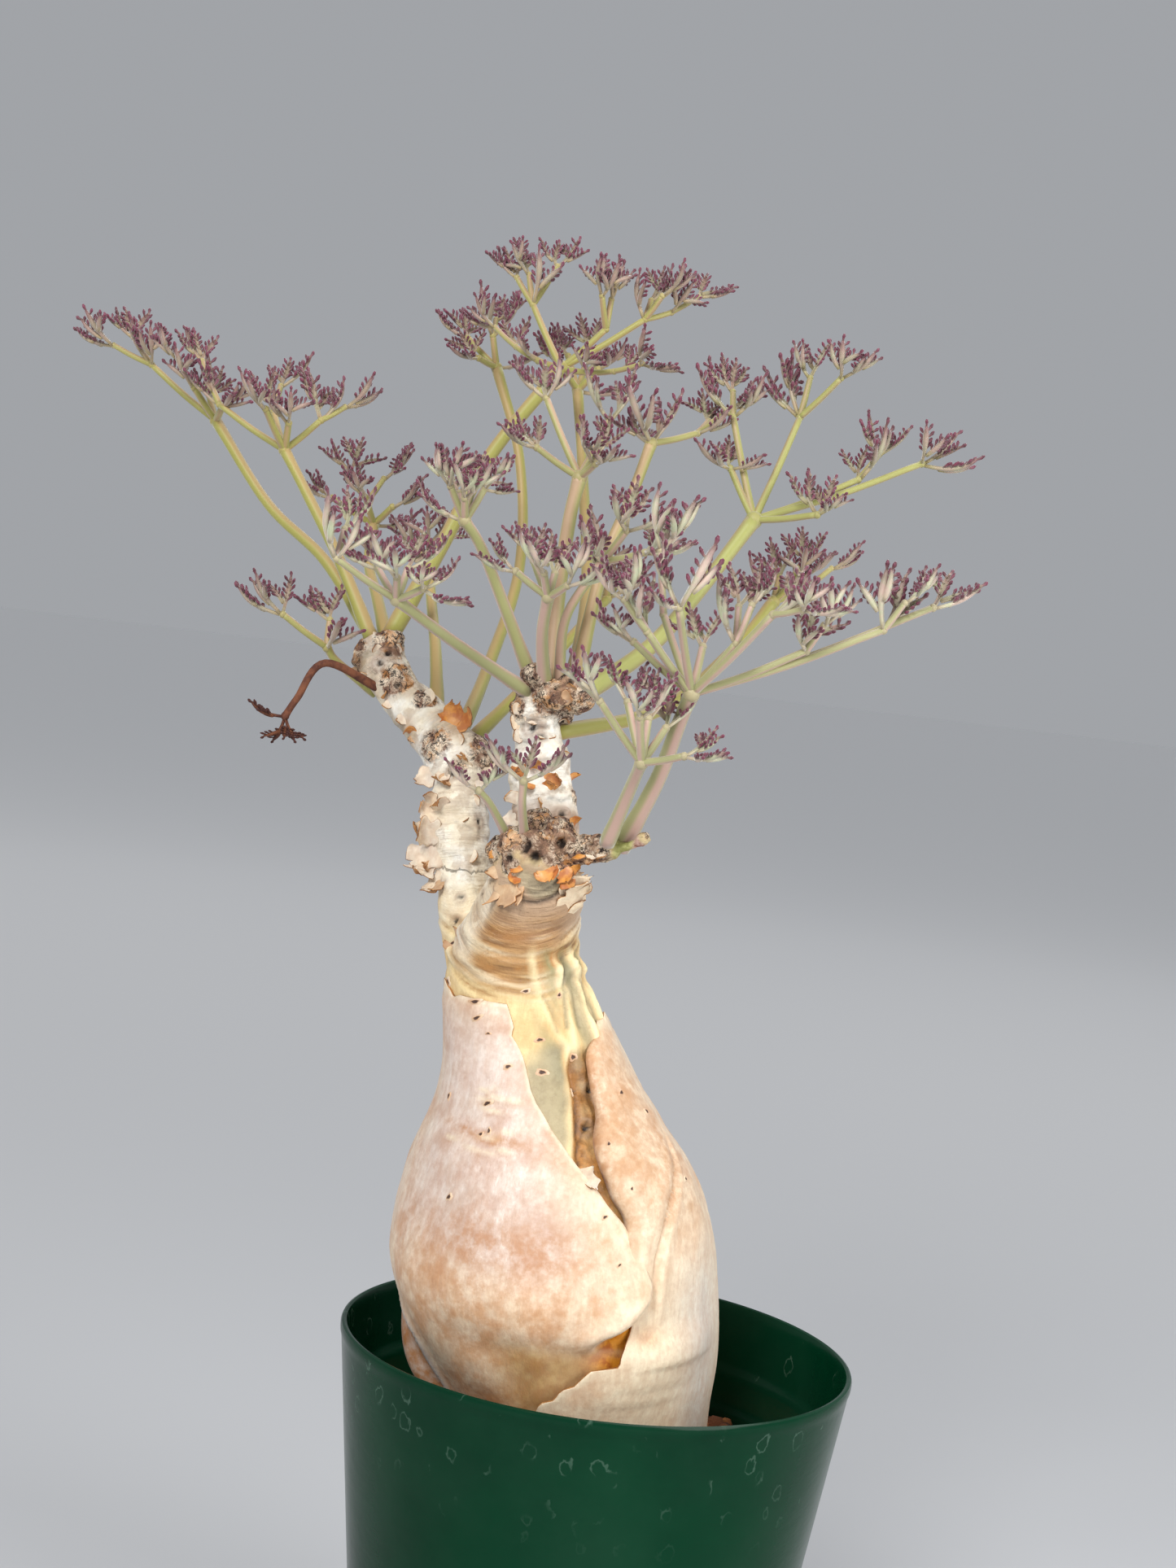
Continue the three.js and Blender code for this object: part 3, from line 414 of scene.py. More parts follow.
def place_in_mm(bench, stretch=1.0):
    """The object's own coordinates in millimetres, drawn out along the height."""
    own = bench.add("TexCoord").outputs["Object"]
    upright = bench.sum_of("DIVIDE", 1000.0, stretch)
    scale = bench.add("CombineXYZ", {"X": 1000.0, "Y": 1000.0, "Z": upright}).outputs[0]
    return bench.add("VectorMath", {0: own, 1: scale}, operation="MULTIPLY").outputs[0]


def noise_of(bench, place, size, seed, detail, swirl=0.0):
    """Noise from 0 to 1 with patches of a size."""
    inputs = {"Vector": place, "W": seed, "Scale": bench.sum_of("DIVIDE", 1.0, size)}
    inputs |= {"Detail": detail, "Roughness": 0.6, "Distortion": swirl}
    return bench.add("TexNoise", inputs, noise_dimensions="4D").outputs[0]


def pressed(bench, value, sharpness):
    """Noise pressed towards 0 and 1."""
    half = bench.scaled(sharpness, -0.2, 0.22)
    low, high = (bench.sum_of(way, 0.5, half) for way in ("SUBTRACT", "ADD"))
    return bench.smooth_range(value, From_Min=low, From_Max=high)


def thin_line(bench, value, middle, width):
    """1 where a value is at its middle, falling to 0 a width away."""
    off = bench.sum_of("ABSOLUTE", bench.sum_of("SUBTRACT", value, middle))
    return bench.smooth_range(off, From_Max=width, To_Min=1.0, To_Max=0.0)


@effect(Size=6.0, Sharpness=0.5, Seed=0.0)
def mottling(bench, size, sharpness, seed):
    return pressed(bench, noise_of(bench, place_in_mm(bench), size, seed, 5.0), sharpness)


@effect(Size=1.2, Stretch=8.0, Seed=0.0)
def fibres(bench, size, stretch, seed):
    return pressed(bench, noise_of(bench, place_in_mm(bench, stretch), size, seed, 4.0), 0.4)


@effect("Normal", "NodeSocketVector", Size=0.8, Depth=0.05, Seed=0.0, Stretch=1.0)
def relief(bench, size, depth, seed, stretch):
    noise = noise_of(bench, place_in_mm(bench, stretch), size, seed, 3.0)
    inputs = {"Height": noise, "Distance": bench.product(depth, MM)}
    return bench.add("Bump", inputs).outputs["Normal"]


@effect(Size=1.6, Width=0.05, Seed=0.0)
def fissures(bench, size, width, seed):
    noise = noise_of(bench, place_in_mm(bench), size, seed, 2.0, 1.2)
    return thin_line(bench, noise, 0.5, width)


@effect(Size=2.4, Lines=9.0, Width=0.3, Seed=0.0)
def contours(bench, size, lines, width, seed):
    noise = noise_of(bench, place_in_mm(bench), size, seed, 1.0, 1.6)
    wave = bench.sum_of("PINGPONG", bench.product(noise, lines), 0.5)
    return bench.smooth_range(wave, From_Max=width, To_Min=1.0, To_Max=0.0)


@effect(Size=9.0, Radius=0.24, Width=0.035)
def lime_rings(bench, size, radius, width):
    place = place_in_mm(bench, 1.4)
    cells = bench.add("TexVoronoi", {"Vector": place, "Scale": bench.sum_of("DIVIDE", 1.0, size)})
    uneven = noise_of(bench, place, bench.sum_of("DIVIDE", size, 3.0), 8.0, 2.0)
    reach = bench.scaled(bench.sum_of("SUBTRACT", uneven, 0.5), 0.5, cells.outputs["Distance"])
    ring = thin_line(bench, reach, radius, width)
    return bench.product(ring, pressed(bench, noise_of(bench, place, size, 3.0, 2.0), 0.8))


print("shared effects:", [tree.name for tree in bpy.data.node_groups])

# %% [markdown]
# ## Camera, floor and light
#
# The real view is taken from a little above the caudex, with the whole plant leaning in
# the picture. The camera could be placed by eye, but the rim of the pot is a circle, and
# the one camera that sees it as the right ellipse can be worked out. The light is that of
# a bright room: pale from every side, with one wide lamp at the upper left and a weaker
# one at the right to open the shadows. Wide lamps keep the shadows soft.

# %% Place the camera
CAMERA_PLACE = (0.0, -0.4091, 0.1994)
CAMERA_TURN, CAMERA_DOWN, CAMERA_ROLL = (math.radians(angle) for angle in (-1.84, 2.86, 6.82))
FOCAL_PIXELS, IMAGE_HEIGHT = 2896, 1927
SENSOR_HEIGHT = 36.0


def camera_axes():
    """The picture's right and up, and the direction that the camera looks in."""
    level = math.cos(CAMERA_DOWN)
    ahead = np.array(
        [math.sin(CAMERA_TURN) * level, math.cos(CAMERA_TURN) * level, -math.sin(CAMERA_DOWN)]
    )
    right = np.array([math.cos(CAMERA_TURN), -math.sin(CAMERA_TURN), 0.0])
    up = np.cross(right, ahead)
    cosine, sine = math.cos(CAMERA_ROLL), math.sin(CAMERA_ROLL)
    return cosine * right + sine * up, cosine * up - sine * right, ahead


def place_camera():
    right, up, ahead = camera_axes()
    data = bpy.data.cameras.new("camera")
    data.sensor_fit = "VERTICAL"
    data.sensor_height = SENSOR_HEIGHT
    data.lens = FOCAL_PIXELS / IMAGE_HEIGHT * SENSOR_HEIGHT
    data.clip_start = 0.01
    camera = add_object("camera", data)
    turn = Matrix(np.array([right, up, -ahead]).T.tolist())
    camera.matrix_world = Matrix.Translation(CAMERA_PLACE) @ turn.to_4x4()
    bpy.context.scene.camera = camera


place_camera()
print("focal length in mm:", round(bpy.context.scene.camera.data.lens, 2))

# %% Lay the floor and hang the lamps
FLOOR_REACH = 40.0
ROOM_TONE, FLOOR_TONE, FAR_TONE = (206, 209, 214), (196, 197, 199), (252, 252, 252)
ROOM_STRENGTH = 0.58
# Place, point it is aimed at, width and power.
LAMPS = {
    "window": ((-0.32, -0.85, 0.8), (0, 0, 0.16), 0.45, 9.2),
    "fill": ((0.75, -0.6, 0.45), (0, 0, 0.13), 0.6, 6.0),
    "above": ((0.25, 0.5, 1.1), (0, 0, 0.15), 0.6, 3.0),
}


def lay_floor():
    """A floor that is grey around the pot and pales towards the distance."""
    corners = [(x * FLOOR_REACH, y * FLOOR_REACH, 0) for x, y in ((-1, -1), (1, -1), (1, 1), (-1, 1))]
    mesh = bpy.data.meshes.new("floor")
    mesh.from_pydata(corners, [], [(0, 1, 2, 3)])
    paint = Finish("pale_floor")
    own = paint.add("TexCoord").outputs["Object"]
    distance = paint.add("VectorMath", {0: own}, operation="LENGTH").outputs["Value"]
    # The floor is painted paler with distance, standing in for light that the lamps don't carry so far, so
    # that it fades into the pale room.
    far = paint.smooth_range(distance, From_Min=0.25, From_Max=1.6)
    tone = paint.mixed(far, FLOOR_TONE, FAR_TONE)
    mesh.materials.append(paint.done(Base_Color=tone, Roughness=0.8, Specular_IOR_Level=0.1))
    add_object("floor", mesh)


def light_room():
    world = bpy.data.worlds.new("pale_room")
    world.use_nodes = True
    background = world.node_tree.nodes["Background"]
    background.inputs["Color"].default_value = from_screen(*ROOM_TONE)
    background.inputs["Strength"].default_value = ROOM_STRENGTH
    bpy.context.scene.world = world
    bpy.context.scene.view_settings.view_transform = "Standard"
    for name, (place, aim, width, power) in LAMPS.items():
        data = bpy.data.lights.new(name, "AREA")
        data.shape, data.size, data.energy = "DISK", width, power
        lamp = add_object(name, data)
        lamp.location = place
        towards = Vector(aim) - Vector(place)
        lamp.rotation_euler = towards.to_track_quat("-Z", "Y").to_euler()


lay_floor()
light_room()

# %% [markdown]
# ## The pot
#
# A nursery pot is blow-moulded or injected from thin, glossy polypropylene. It tapers
# towards its foot so that pots stack, its lip is rolled a little, two low ledges inside
# stiffen it, and drain holes open its floor. It is a turned form, so a profile swept
# around the axis gives it exactly. The holes are the only part that isn't turned, and
# they are cut with the Boolean modifier.

# %% Turn the pot
POT_HEIGHT, RIM_RADIUS, FOOT_RADIUS = 82.0, 45.0, 33.8
POT_WALL, POT_FLOOR = 1.2, 2.0
LEDGE_DROPS, LEDGE_STEP, LEDGE_EASE = (12.0, 19.0), 0.5, 0.8
DRAIN_HOLES, DRAIN_RADIUS, DRAIN_CIRCLE, DRAIN_SIDES = 6, 3.0, 23.0, 40
POT_TURN_STEPS = 144
# The profile, as steps out from the foot's or the lip's edge and down from the top.
FOOT_EDGE = ((-1.4, 0.0), (-0.5, 0.25), (0.02, 0.9))
LIP_EDGE = ((-0.28, 2.2), (-0.06, 1.6), (-0.02, 0.6), (-0.18, 0.18), (-0.55, 0), (0.2 - POT_WALL, 0.15))


def pot_outside(height):
    """The outside radius of the pot at a height."""
    return FOOT_RADIUS + (RIM_RADIUS - FOOT_RADIUS) * height / POT_HEIGHT


def pot_inside(height):
    """The inside radius, which steps in at each ledge on the way down."""
    below = POT_HEIGHT - height
    steps = sum(ease(drop - LEDGE_EASE, drop + LEDGE_EASE, below) for drop in LEDGE_DROPS)
    return pot_outside(height) - POT_WALL - LEDGE_STEP * steps


def pot_profile():
    """Radius and height from the middle of the underside, up the outside and down again."""
    lip_radius = pot_outside(POT_HEIGHT)
    foot = [(0.01, 0.0), (12, 0.0), *((FOOT_RADIUS + out, z) for out, z in FOOT_EDGE)]
    rows = [(float(pot_outside(z)), z) for z in np.linspace(3, POT_HEIGHT - 3.2, 24)]
    lip = [(lip_radius + out, POT_HEIGHT - down) for out, down in LIP_EDGE]
    lip.append((lip_radius - POT_WALL, POT_HEIGHT - 0.6))
    inner = [(float(pot_inside(z)), z) for z in np.linspace(POT_HEIGHT - 1.6, POT_FLOOR + 1.5, 110)]
    floor = [(FOOT_RADIUS - POT_WALL - 1.6, POT_FLOOR + 0.3), (FOOT_RADIUS - 4, POT_FLOOR)]
    return foot + rows + lip + inner + floor + [(12, POT_FLOOR), (0.01, POT_FLOOR)]


def turned(profile, steps):
    """The rings of points that a profile sweeps around the upright axis."""
    profile = np.array(profile)
    rings = np.empty((len(profile), steps, 3))
    rings[..., 0] = profile[:, :1] * np.sin(bearings(steps))
    rings[..., 1] = -profile[:, :1] * np.cos(bearings(steps))
    rings[..., 2] = profile[:, 1:]
    return rings[:, ::-1]


def with_drain_holes(mesh):
    """The mesh with the drain holes cut through its floor."""
    cutters = Clay()
    for i in range(DRAIN_HOLES):
        bearing = (i + 0.5) / DRAIN_HOLES * FULL_TURN
        x, y = DRAIN_CIRCLE * math.cos(bearing), DRAIN_CIRCLE * math.sin(bearing)
        path = np.array([(x, y, z) for z in (-2.0, 1.0, 4.0)])
        add_tube(cutters, path, DRAIN_RADIUS, DRAIN_SIDES)
    holder, cutter = add_object("holder", mesh), add_object("cutter", cutters.mesh("cutter"))
    cut = holder.modifiers.new("drain", "BOOLEAN")
    cut.object, cut.operation = cutter, "DIFFERENCE"
    return settled(holder, cutter)


rings = turned(pot_profile(), POT_TURN_STEPS)
clay = Clay()
clay.add(rings, tube_faces(len(rings), POT_TURN_STEPS))
pot_mesh = with_drain_holes(clay.mesh("pot_turned"))
pot_mesh.name = "pot"
print("pot faces:", len(pot_mesh.polygons))

# %% [markdown]
# ### Glossy green plastic
#
# The plastic is dyed through, so its colour hardly varies, and what the eye reads is its
# gloss: a clear reflection, broken by fine wipe marks, dust near the lip and the rings
# that drops of hard water dried into. The lime is laid over the green as a thin, paler
# and rougher film.

# %% Finish the pot
def plastic_finish():
    paint = Finish("green_plastic")
    shades, dust = paint.mottlings((60.0, 0.1, 0.0), (24.0, 0.1, 4.0))
    height = paint.add("SeparateXYZ", {0: place_in_mm(paint)}).outputs["Z"]
    near_rim = paint.add("MapRange", {"Value": height, "From Min": 58.0, "From Max": 78.0}).outputs[0]
    lime = paint.product(paint.group("lime_rings", Size=4.6, Width=0.05), near_rim)
    film = paint.scaled(lime, 0.15, paint.product(dust, 0.015), clamp=True)
    green = paint.mixed(shades, (0, 41, 24), (0, 55, 32))
    return paint.done(
        Base_Color=paint.mixed(film, green, (150, 185, 165)),
        Roughness=paint.scaled(film, 0.9, 0.2, clamp=True),
        Normal=paint.group("relief", Size=7.0, Depth=0.08, Stretch=0.4, Seed=2.0),
        Specular_IOR_Level=0.12,
    )


put_up("pot_shell", pot_mesh, [plastic_finish()], "pot", "pot", sharp_over=35)

# %% [markdown]
# ## The soil
#
# The mix is a bed of baked clay, pumice and a few dark lava crumbs, one to five
# millimetres across, with no fine dust on top. A bumpy sheet with a noise texture would
# look like mud from close by. So a low bed fills the pot, and single grains, each a
# dented ball with its own size, turn and tone, are pressed into its top.

# %% Fill the pot
SOIL_LEVEL, SOIL_BOTTOM, SOIL_GAP, SOIL_TURN_STEPS = 62.0, POT_FLOOR + 0.3, 0.35, 96
GRAINS, GRAIN_SHAPES, GRAIN_SIZES, GRAINS_FROM = 1250, 12, (0.8, 2.6), 15.0


def dented_balls():
    """Points of a few irregular grains of radius one, and the faces that they share."""
    ball = bmesh.new()
    bmesh.ops.create_icosphere(ball, subdivisions=2, radius=1.0)
    points = np.array([v.co[:] for v in ball.verts])
    faces = np.array([[v.index for v in face.verts] for face in ball.faces])
    ball.free()
    shapes = []
    for i in range(GRAIN_SHAPES):
        dents = 1 + 0.2 * ripple(points, 0.9, i + 1) + 0.08 * ripple(points, 0.4, i + 20)
        squash = [1.0, 0.78 + 0.3 * chance(i), 0.68 + 0.3 * chance(i + 50)]
        shapes.append(points * dents[:, None] * squash)
    return shapes, faces


def soil_bed(clay):
    """A bed with a bumpy top from its middle to the wall, closed down to the pot's floor."""

    def wall(height):
        return float(pot_inside(height)) - SOIL_GAP

    top = [(r, SOIL_LEVEL - 0.9) for r in np.linspace(0.01, wall(SOIL_LEVEL), 34)]
    side = [(wall(z), z) for z in np.linspace(SOIL_LEVEL - 3, SOIL_BOTTOM + 2, 14)]
    bottom = [(FOOT_RADIUS - 5, SOIL_BOTTOM), (0.01, SOIL_BOTTOM)]
    bed = turned((top + side + bottom)[::-1], SOIL_TURN_STEPS)
    lumps = 0.8 * ripple(bed, 5.0, 2) + 0.5 * ripple(bed, 1.9, 3)
    bed[..., 2] += np.where(bed[..., 2] > SOIL_LEVEL - 1.2, lumps, 0)
    clay.add(bed, tube_faces(len(bed), SOIL_TURN_STEPS), tone=0.25)


def scatter_grains(clay):
    """Grains strewn evenly over the bed, most of them small."""
    shapes, faces = dented_balls()
    inner, outer = GRAINS_FROM, float(pot_inside(SOIL_LEVEL)) - 0.5
    for i in range(GRAINS):
        size = GRAIN_SIZES[0] + (GRAIN_SIZES[1] - GRAIN_SIZES[0]) * chance(i + 0.1) ** 2.2
        reach = math.sqrt(inner**2 + ((outer - size) ** 2 - inner**2) * chance(i + 0.3))
        bearing = FULL_TURN * chance(i + 0.7)
        height = SOIL_LEVEL - 0.5 + 0.9 * chance(i + 0.9) - 0.35 * size
        place = [reach * math.cos(bearing), reach * math.sin(bearing), height]
        turn = np.array(Euler([FULL_TURN * chance(i + j / 3) for j in range(3)]).to_matrix())
        grain = shapes[i % GRAIN_SHAPES] @ turn.T * size + place
        clay.add(grain, [faces], tone=chance(i + 0.5))


clay = Clay("tone")
soil_bed(clay)
scatter_grains(clay)
print("points in the soil:", clay.count)

# %% Finish the soil
# Tones of the grains, from lava over baked clay to pumice.
GRIT_TONES = (
    (0.0, (58, 42, 36)), (0.12, (140, 82, 48)), (0.35, (176, 108, 62)), (0.6, (202, 134, 80)),
    (0.8, (222, 176, 124)), (1.0, (232, 212, 184)),
)


def grit_finish():
    paint = Finish("clay_and_pumice")
    body = paint.ramp(paint.marks("tone")["tone"], *GRIT_TONES)
    (stains,) = paint.mottlings((1.4, 0.5, 3.0))
    return paint.done(
        Base_Color=paint.mixed(0.45, body, paint.mixed(stains, body, (120, 74, 46))),
        Roughness=0.95, Normal=paint.group("relief", Size=0.35, Depth=0.22, Seed=5.0),
    )


put_up("soil_bed", clay.mesh("soil"), [grit_finish()], "soil", "soil")

# %% [markdown]
# ## The trunk
#
# Under the loose bark the caudex and its stems are one body of living tissue: a bottle
# that narrows to a wrinkled neck, then a left stem, a middle stem and a thick front twig.
# Leaves that have dropped leave knobs with hollow scars. Separate tubes would cross each
# other with hard seams, and joining them with Booleans keeps those seams. A *voxel
# remesh* melts overlapping forms into one even skin instead, and a little smoothing
# rounds the joints as growth does. The fine relief is pushed into that skin afterwards.

# %% The trunk's measured form
# Height, centre and radius of the caudex, from its root end to the top of its neck.
CAUDEX = [
    (38, 1.5, 0, 7), (50, 2, 0, 13), (62, 1.5, 0, 17.5), (68, -0.7, 0, 20.9),
    (74, -3.5, 0, 23.8), (81, -5.9, 0, 26.5), (88, -7.6, 0, 27.7), (95, -9.2, 0, 28.2),
    (102, -10, 0, 27.2), (109, -10.8, 0, 25.3), (116, -12, 0, 22.6), (123, -13.9, 0, 18.9),
    (130, -16.3, 0, 16.1), (138, -19.2, 0, 14), (143, -21, -0.4, 12.9), (145.5, -21.7, -0.8, 11.7),
    (147.5, -22, -1.2, 12), (149.5, -22.2, -1.7, 10.7), (151.5, -22, -2.4, 10.9),
    (154, -21.4, -3.6, 9.6), (158, -20.4, -5.6, 9), (163, -19.8, -7.6, 7.8), (167.5, -20.6, -8.8, 7),
]
# Places and radii along the left stem, the middle stem, the twig and its dead stub.
STEMS = [
    [
        (-27.6, 2.6, 143, 6), (-32.4, 6, 155, 4.9), (-33.8, 8, 163.4, 4.5), (-35.6, 11, 173.3, 4.4),
        (-37.5, 13.5, 179.6, 5.6), (-43.1, 17, 184.7, 4.7), (-49.3, 20, 189.9, 4.2),
        (-53.6, 22, 194.8, 4.4), (-55.6, 24, 200.2, 3.6),
    ],
    [
        (-19, -1, 157, 6), (-18.9, 0, 168, 5.4), (-21.6, 2, 178.5, 5.5), (-23.2, 4, 186.8, 4.2),
        (-23.6, 4, 194.6, 4),
    ],
    [(-18, -9.5, 166.5, 3.6), (-12.5, -13.5, 168.4, 2.6), (-6.6, -18, 170, 1.9)],
    [(-7.6, -17.4, 169.6, 1.2), (-4.4, -19.4, 170.6, 0.85), (-2.6, -20.4, 171.8, 0.9)],
]
LEFT, MIDDLE, TWIG, STUB = range(4)
# Place and radius of the knobs that dropped leaves left, and of a swelling without a scar.
KNOBS = [
    (-26.4, -8.6, 166.4, 2.6), (-24, -12, 168.4, 2.7), (-20.4, -13.4, 168.6, 2.5),
    (-16.6, -11.6, 171, 2.7), (-20.4, -8, 171.4, 3), (-17.4, 1.6, 194.4, 3.9),
    (-24.6, 0.6, 196.6, 2.4), (-57.4, 23, 196.4, 2.4), (-52.6, 21, 199.4, 2.4),
    (-33.4, 12, 181, 2.8), (-40.6, 11.6, 181.6, 2.6), (-2.4, -20.6, 172, 1.35),
    (-21.2, -0.6, 193.4, 2.7), (-27.2, 3, 190.6, 1.9), (-19.4, 6.6, 190.4, 2.2),
    (-56.6, 25.4, 193.6, 2.0), (-50.2, 17.4, 192.4, 2.1), (-44.6, 15.4, 189.6, 1.6),
    (-36.6, 9.6, 178.4, 1.9), (-23.4, -13.2, 164.6, 1.7), (-12.4, -15.2, 168.8, 1.5),
    (-9.4, -16.8, 170.4, 1.4), (-17.6, -13.6, 167.2, 1.8), (-16.2, 0.4, 176, 1.3),
]
SWELLINGS = [(-34.9, 8.2, 162.5, 4.9), (-35.9, 9.2, 167, 5.1), (-36.7, 10.6, 171.6, 5.1)]
VOXEL, ROUNDING_PASSES = 0.56, 5
BODY_ROWS, BODY_SIDES, STEM_SIDES, PATH_STEPS = 130, 96, 28, 6
CAUDEX_ROWS = smooth_path(CAUDEX, 8 * (len(CAUDEX) - 1))


def caudex_at(height):
    """The centre and radius of the caudex at a height."""
    return [np.interp(height, CAUDEX_ROWS[:, 0], CAUDEX_ROWS[:, i]) for i in (1, 2, 3)]


def on_caudex(height, bearing, lift=0.0):
    """A point off the skin of the caudex. Bearings are in radians from the front."""
    x, y, radius = caudex_at(height)
    reach = radius + lift
    height = height + np.zeros_like(reach * bearing)
    return np.stack([x + np.sin(bearing) * reach, y - np.cos(bearing) * reach, height], -1)


def fused(clay):
    """The clay's overlapping forms as one skin: points, quads and normals."""
    holder = add_object("holder", clay.mesh("raw", scale=1.0))
    melt = holder.modifiers.new("melt", "REMESH")
    melt.mode, melt.voxel_size = "VOXEL", VOXEL
    holder.modifiers.new("rounding", "SMOOTH").iterations = ROUNDING_PASSES
    mesh = settled(holder)
    points, normals = np.empty(3 * len(mesh.vertices)), np.empty(3 * len(mesh.vertices))
    corners = np.empty(len(mesh.loops), int)
    mesh.vertices.foreach_get("co", points)
    mesh.vertices.foreach_get("normal", normals)
    mesh.loops.foreach_get("vertex_index", corners)
    return points.reshape(-1, 3), corners.reshape(-1, 4), normals.reshape(-1, 3)

# %% Melt the body, stems and knobs together
raw = Clay()
heights = np.linspace(CAUDEX[0][0], CAUDEX[-1][0], BODY_ROWS)
body = on_caudex(heights[:, None], -bearings(BODY_SIDES)[None, :])
raw.add(body, tube_faces(BODY_ROWS, BODY_SIDES))
stem_rows = [smooth_path(stem, PATH_STEPS * (len(stem) - 1)) for stem in STEMS]
for rows in stem_rows:
    add_tube(raw, rows[:, :3], rows[:, 3], STEM_SIDES)
for *centre, radius in KNOBS + SWELLINGS:
    add_ball(raw, centre, radius, rows=9, sides=14, pole=0.12)
skin, skin_quads, skin_normals = fused(raw)
print("points of the melted trunk:", len(skin))

# %% [markdown]
# ### Relief and marks of the trunk
#
# The neck carries wrinkles that hang in the front like a loose collar, because the twig and the left stem
# pull the skin up at the sides. To the right of it the skin stands in upright folds, and below it a valley
# runs down between the two sheets of bark. The stems have rings and thin plates, and the knobs and the twig
# are rough. Each of these is noise stretched in its own direction and kept between its own heights, in
# millimetres, and bearings, in radians or degrees from the front. The same numbers are kept as marks, so
# that hollows can be painted darker as shade and ridges paler as highlight exactly where they are.

# %% Find the parts of the skin
def nearness(place, points, radius=1.0):
    """Distances from a place, in radii."""
    return np.linalg.norm(points - place, axis=1) / radius


height = skin[:, 2]
centre_x, centre_y, _ = caudex_at(height)
bearing = np.arctan2(skin[:, 0] - centre_x, -(skin[:, 1] - centre_y))
degrees = np.degrees(bearing)
# Heights along the collar, which hangs 6.5 mm lower in the front than at its sides.
hang = height - 6.5 * (1 - np.cos(np.clip(bearing, -2.2, 2.2)))

on_stem = []
for rows in stem_rows:
    nearest = np.min([nearness(row[:3], skin, row[3]) for row in rows], axis=0)
    on_stem.append(1 - ease(1.25, 1.75, nearest))
knobby = np.max([1 - ease(1.05, 1.7, nearness(centre, skin, r)) for *centre, r in KNOBS], axis=0)
patchy = 0.5 + 0.5 * ripple(skin, 3.4, 8)
heads = on_stem[LEFT] * ease(186, 194, height) + on_stem[MIDDLE] * ease(186, 192, height)
stub = on_stem[STUB] * ease(-8.0, -6.6, skin[:, 0])
scar = np.clip(np.maximum(knobby, on_stem[TWIG]) + 0.45 * heads * (0.3 + patchy), 0, 1) * (1 - stub)
stem_like = np.clip(on_stem[LEFT] + on_stem[MIDDLE], 0, 1)
stem_like *= ease(147, 159, height + 3.5 * ripple(skin, 5.0, 40))
stem_foot = on_stem[LEFT] * (1 - ease(158, 168, height))
on_body = 1 - np.clip(on_stem[LEFT] * ease(150, 158, height), 0, 1)

# The way along each stem, so that rings can go round it.
path_levels = height.copy()
for number in (LEFT, MIDDLE):
    path = stem_rows[number][:, :3]
    steps = np.r_[0, np.cumsum(np.linalg.norm(np.diff(path, axis=0), axis=1))]
    nearest = np.argmin([nearness(centre, skin) for centre in path], axis=0)
    onward = unit(np.gradient(path, axis=0))[nearest]
    along = steps[nearest] + np.sum((skin - path[nearest]) * onward, axis=1)
    path_levels = np.where(on_stem[number] > 0.5, along + 40 * number, path_levels)
level = np.where(height < 161, hang, path_levels)
print("share of the skin that is scarred:", scar.mean().round(3))

# %% Push wrinkles, folds and roughness into the skin
# Ridges of the folded skin right of the neck, as heights and bearings in degrees.
FOLD_LINES = [
    ((134, 138, 141, 144, 148), (30, 25, 22, 19, 17)),
    ((131, 134.5, 138, 144, 149), (34, 34, 37, 41, 44)),
    ((132, 136.5, 139, 145, 149), (72, 75, 75, 82, 88)),
    ((134, 140, 146), (56, 60, 62)),
]
# The bottom of the valley and the lip of the bark right of it, in the same way.
SPLIT_LINE = (112, 117.3, 124.3, 127.5, 131, 135), (9, 14, 20, 23, 25, 30)
LIP_LINE = (108, 112.4, 117.3, 121, 124.5, 129.5, 134.5), (30, 26, 24, 25, 31, 35, 42)

collar = within(141.0, 154.0, 1.8, hang) * on_body * (1 - 0.8 * ease(1.5, 2.3, abs(bearing)))
collar *= 1 - 0.6 * ease(147.5, 152.0, hang)
around = bearing * 12.0
spot = np.stack([around * 0.12, height * 0.0, hang + 0.25 * ripple(skin, 5.0, 15)], -1)
wrinkle = 0.55 * ripple(spot, 1.7, 5) + 0.65 * ripple(spot, 0.85, 6) + 0.55 * ripple(spot, 0.55, 7)
spot = np.stack([around + 0.25 * (height - 130), height * 0.14, height * 0], -1)
fold = 0.6 * ripple(spot, 2.2, 2) + 0.35 * ripple(spot, 1.1, 3)
for line in FOLD_LINES:
    fold = fold + 1.1 * bump(np.interp(height, *line), 4.5, degrees)
folded = within(0.25, 1.6, 0.15, bearing) * within(129.0, 150.0, 2.5, height)

split, lip = np.interp(height, *SPLIT_LINE), np.interp(height, *LIP_LINE)
past_split = degrees - split
ridge = bump(-2.6, 2.4, past_split) * within(113.0, 134.0, 2.0, height)
furrow = bump(0, 2.4, past_split) * within(108.0, 133.0, 2.0, height)
valley = within(0, 1, 0.12, past_split / (lip + 4 - split)) * within(104.0, 134.0, 1.5, height)

spot = np.stack([skin[:, 0] * 0.22, skin[:, 1] * 0.22, height], -1)
rough = ripple(skin, 1.5, 10) + 0.6 * ripple(skin, 0.75, 11)
plates = ease(-0.12, 0.12, ripple(skin, 3.6, 16)) - 0.5
bulges = 0.3 * ripple(skin, 4.2, 12) + 0.26 * ripple(spot, 1.5, 9) + 0.08 * rough + 0.4 * plates
relief_depth = 0.42 * collar * wrinkle * (1 + 0.5 * ripple(skin, 4.0, 31)) + 0.55 * folded * fold
relief_depth += 0.4 * ridge - 0.6 * furrow - 0.8 * valley * (1 + 0.7 * ripple(skin, 2.0, 17))
relief_depth += stem_like * bulges + 0.3 * stem_foot * fold
relief_depth += 0.34 * scar * rough + 0.05 * ripple(skin, 2.0, 14)
skin = skin + skin_normals * relief_depth[:, None]
print("deepest wrinkle in mm:", relief_depth.min().round(2))

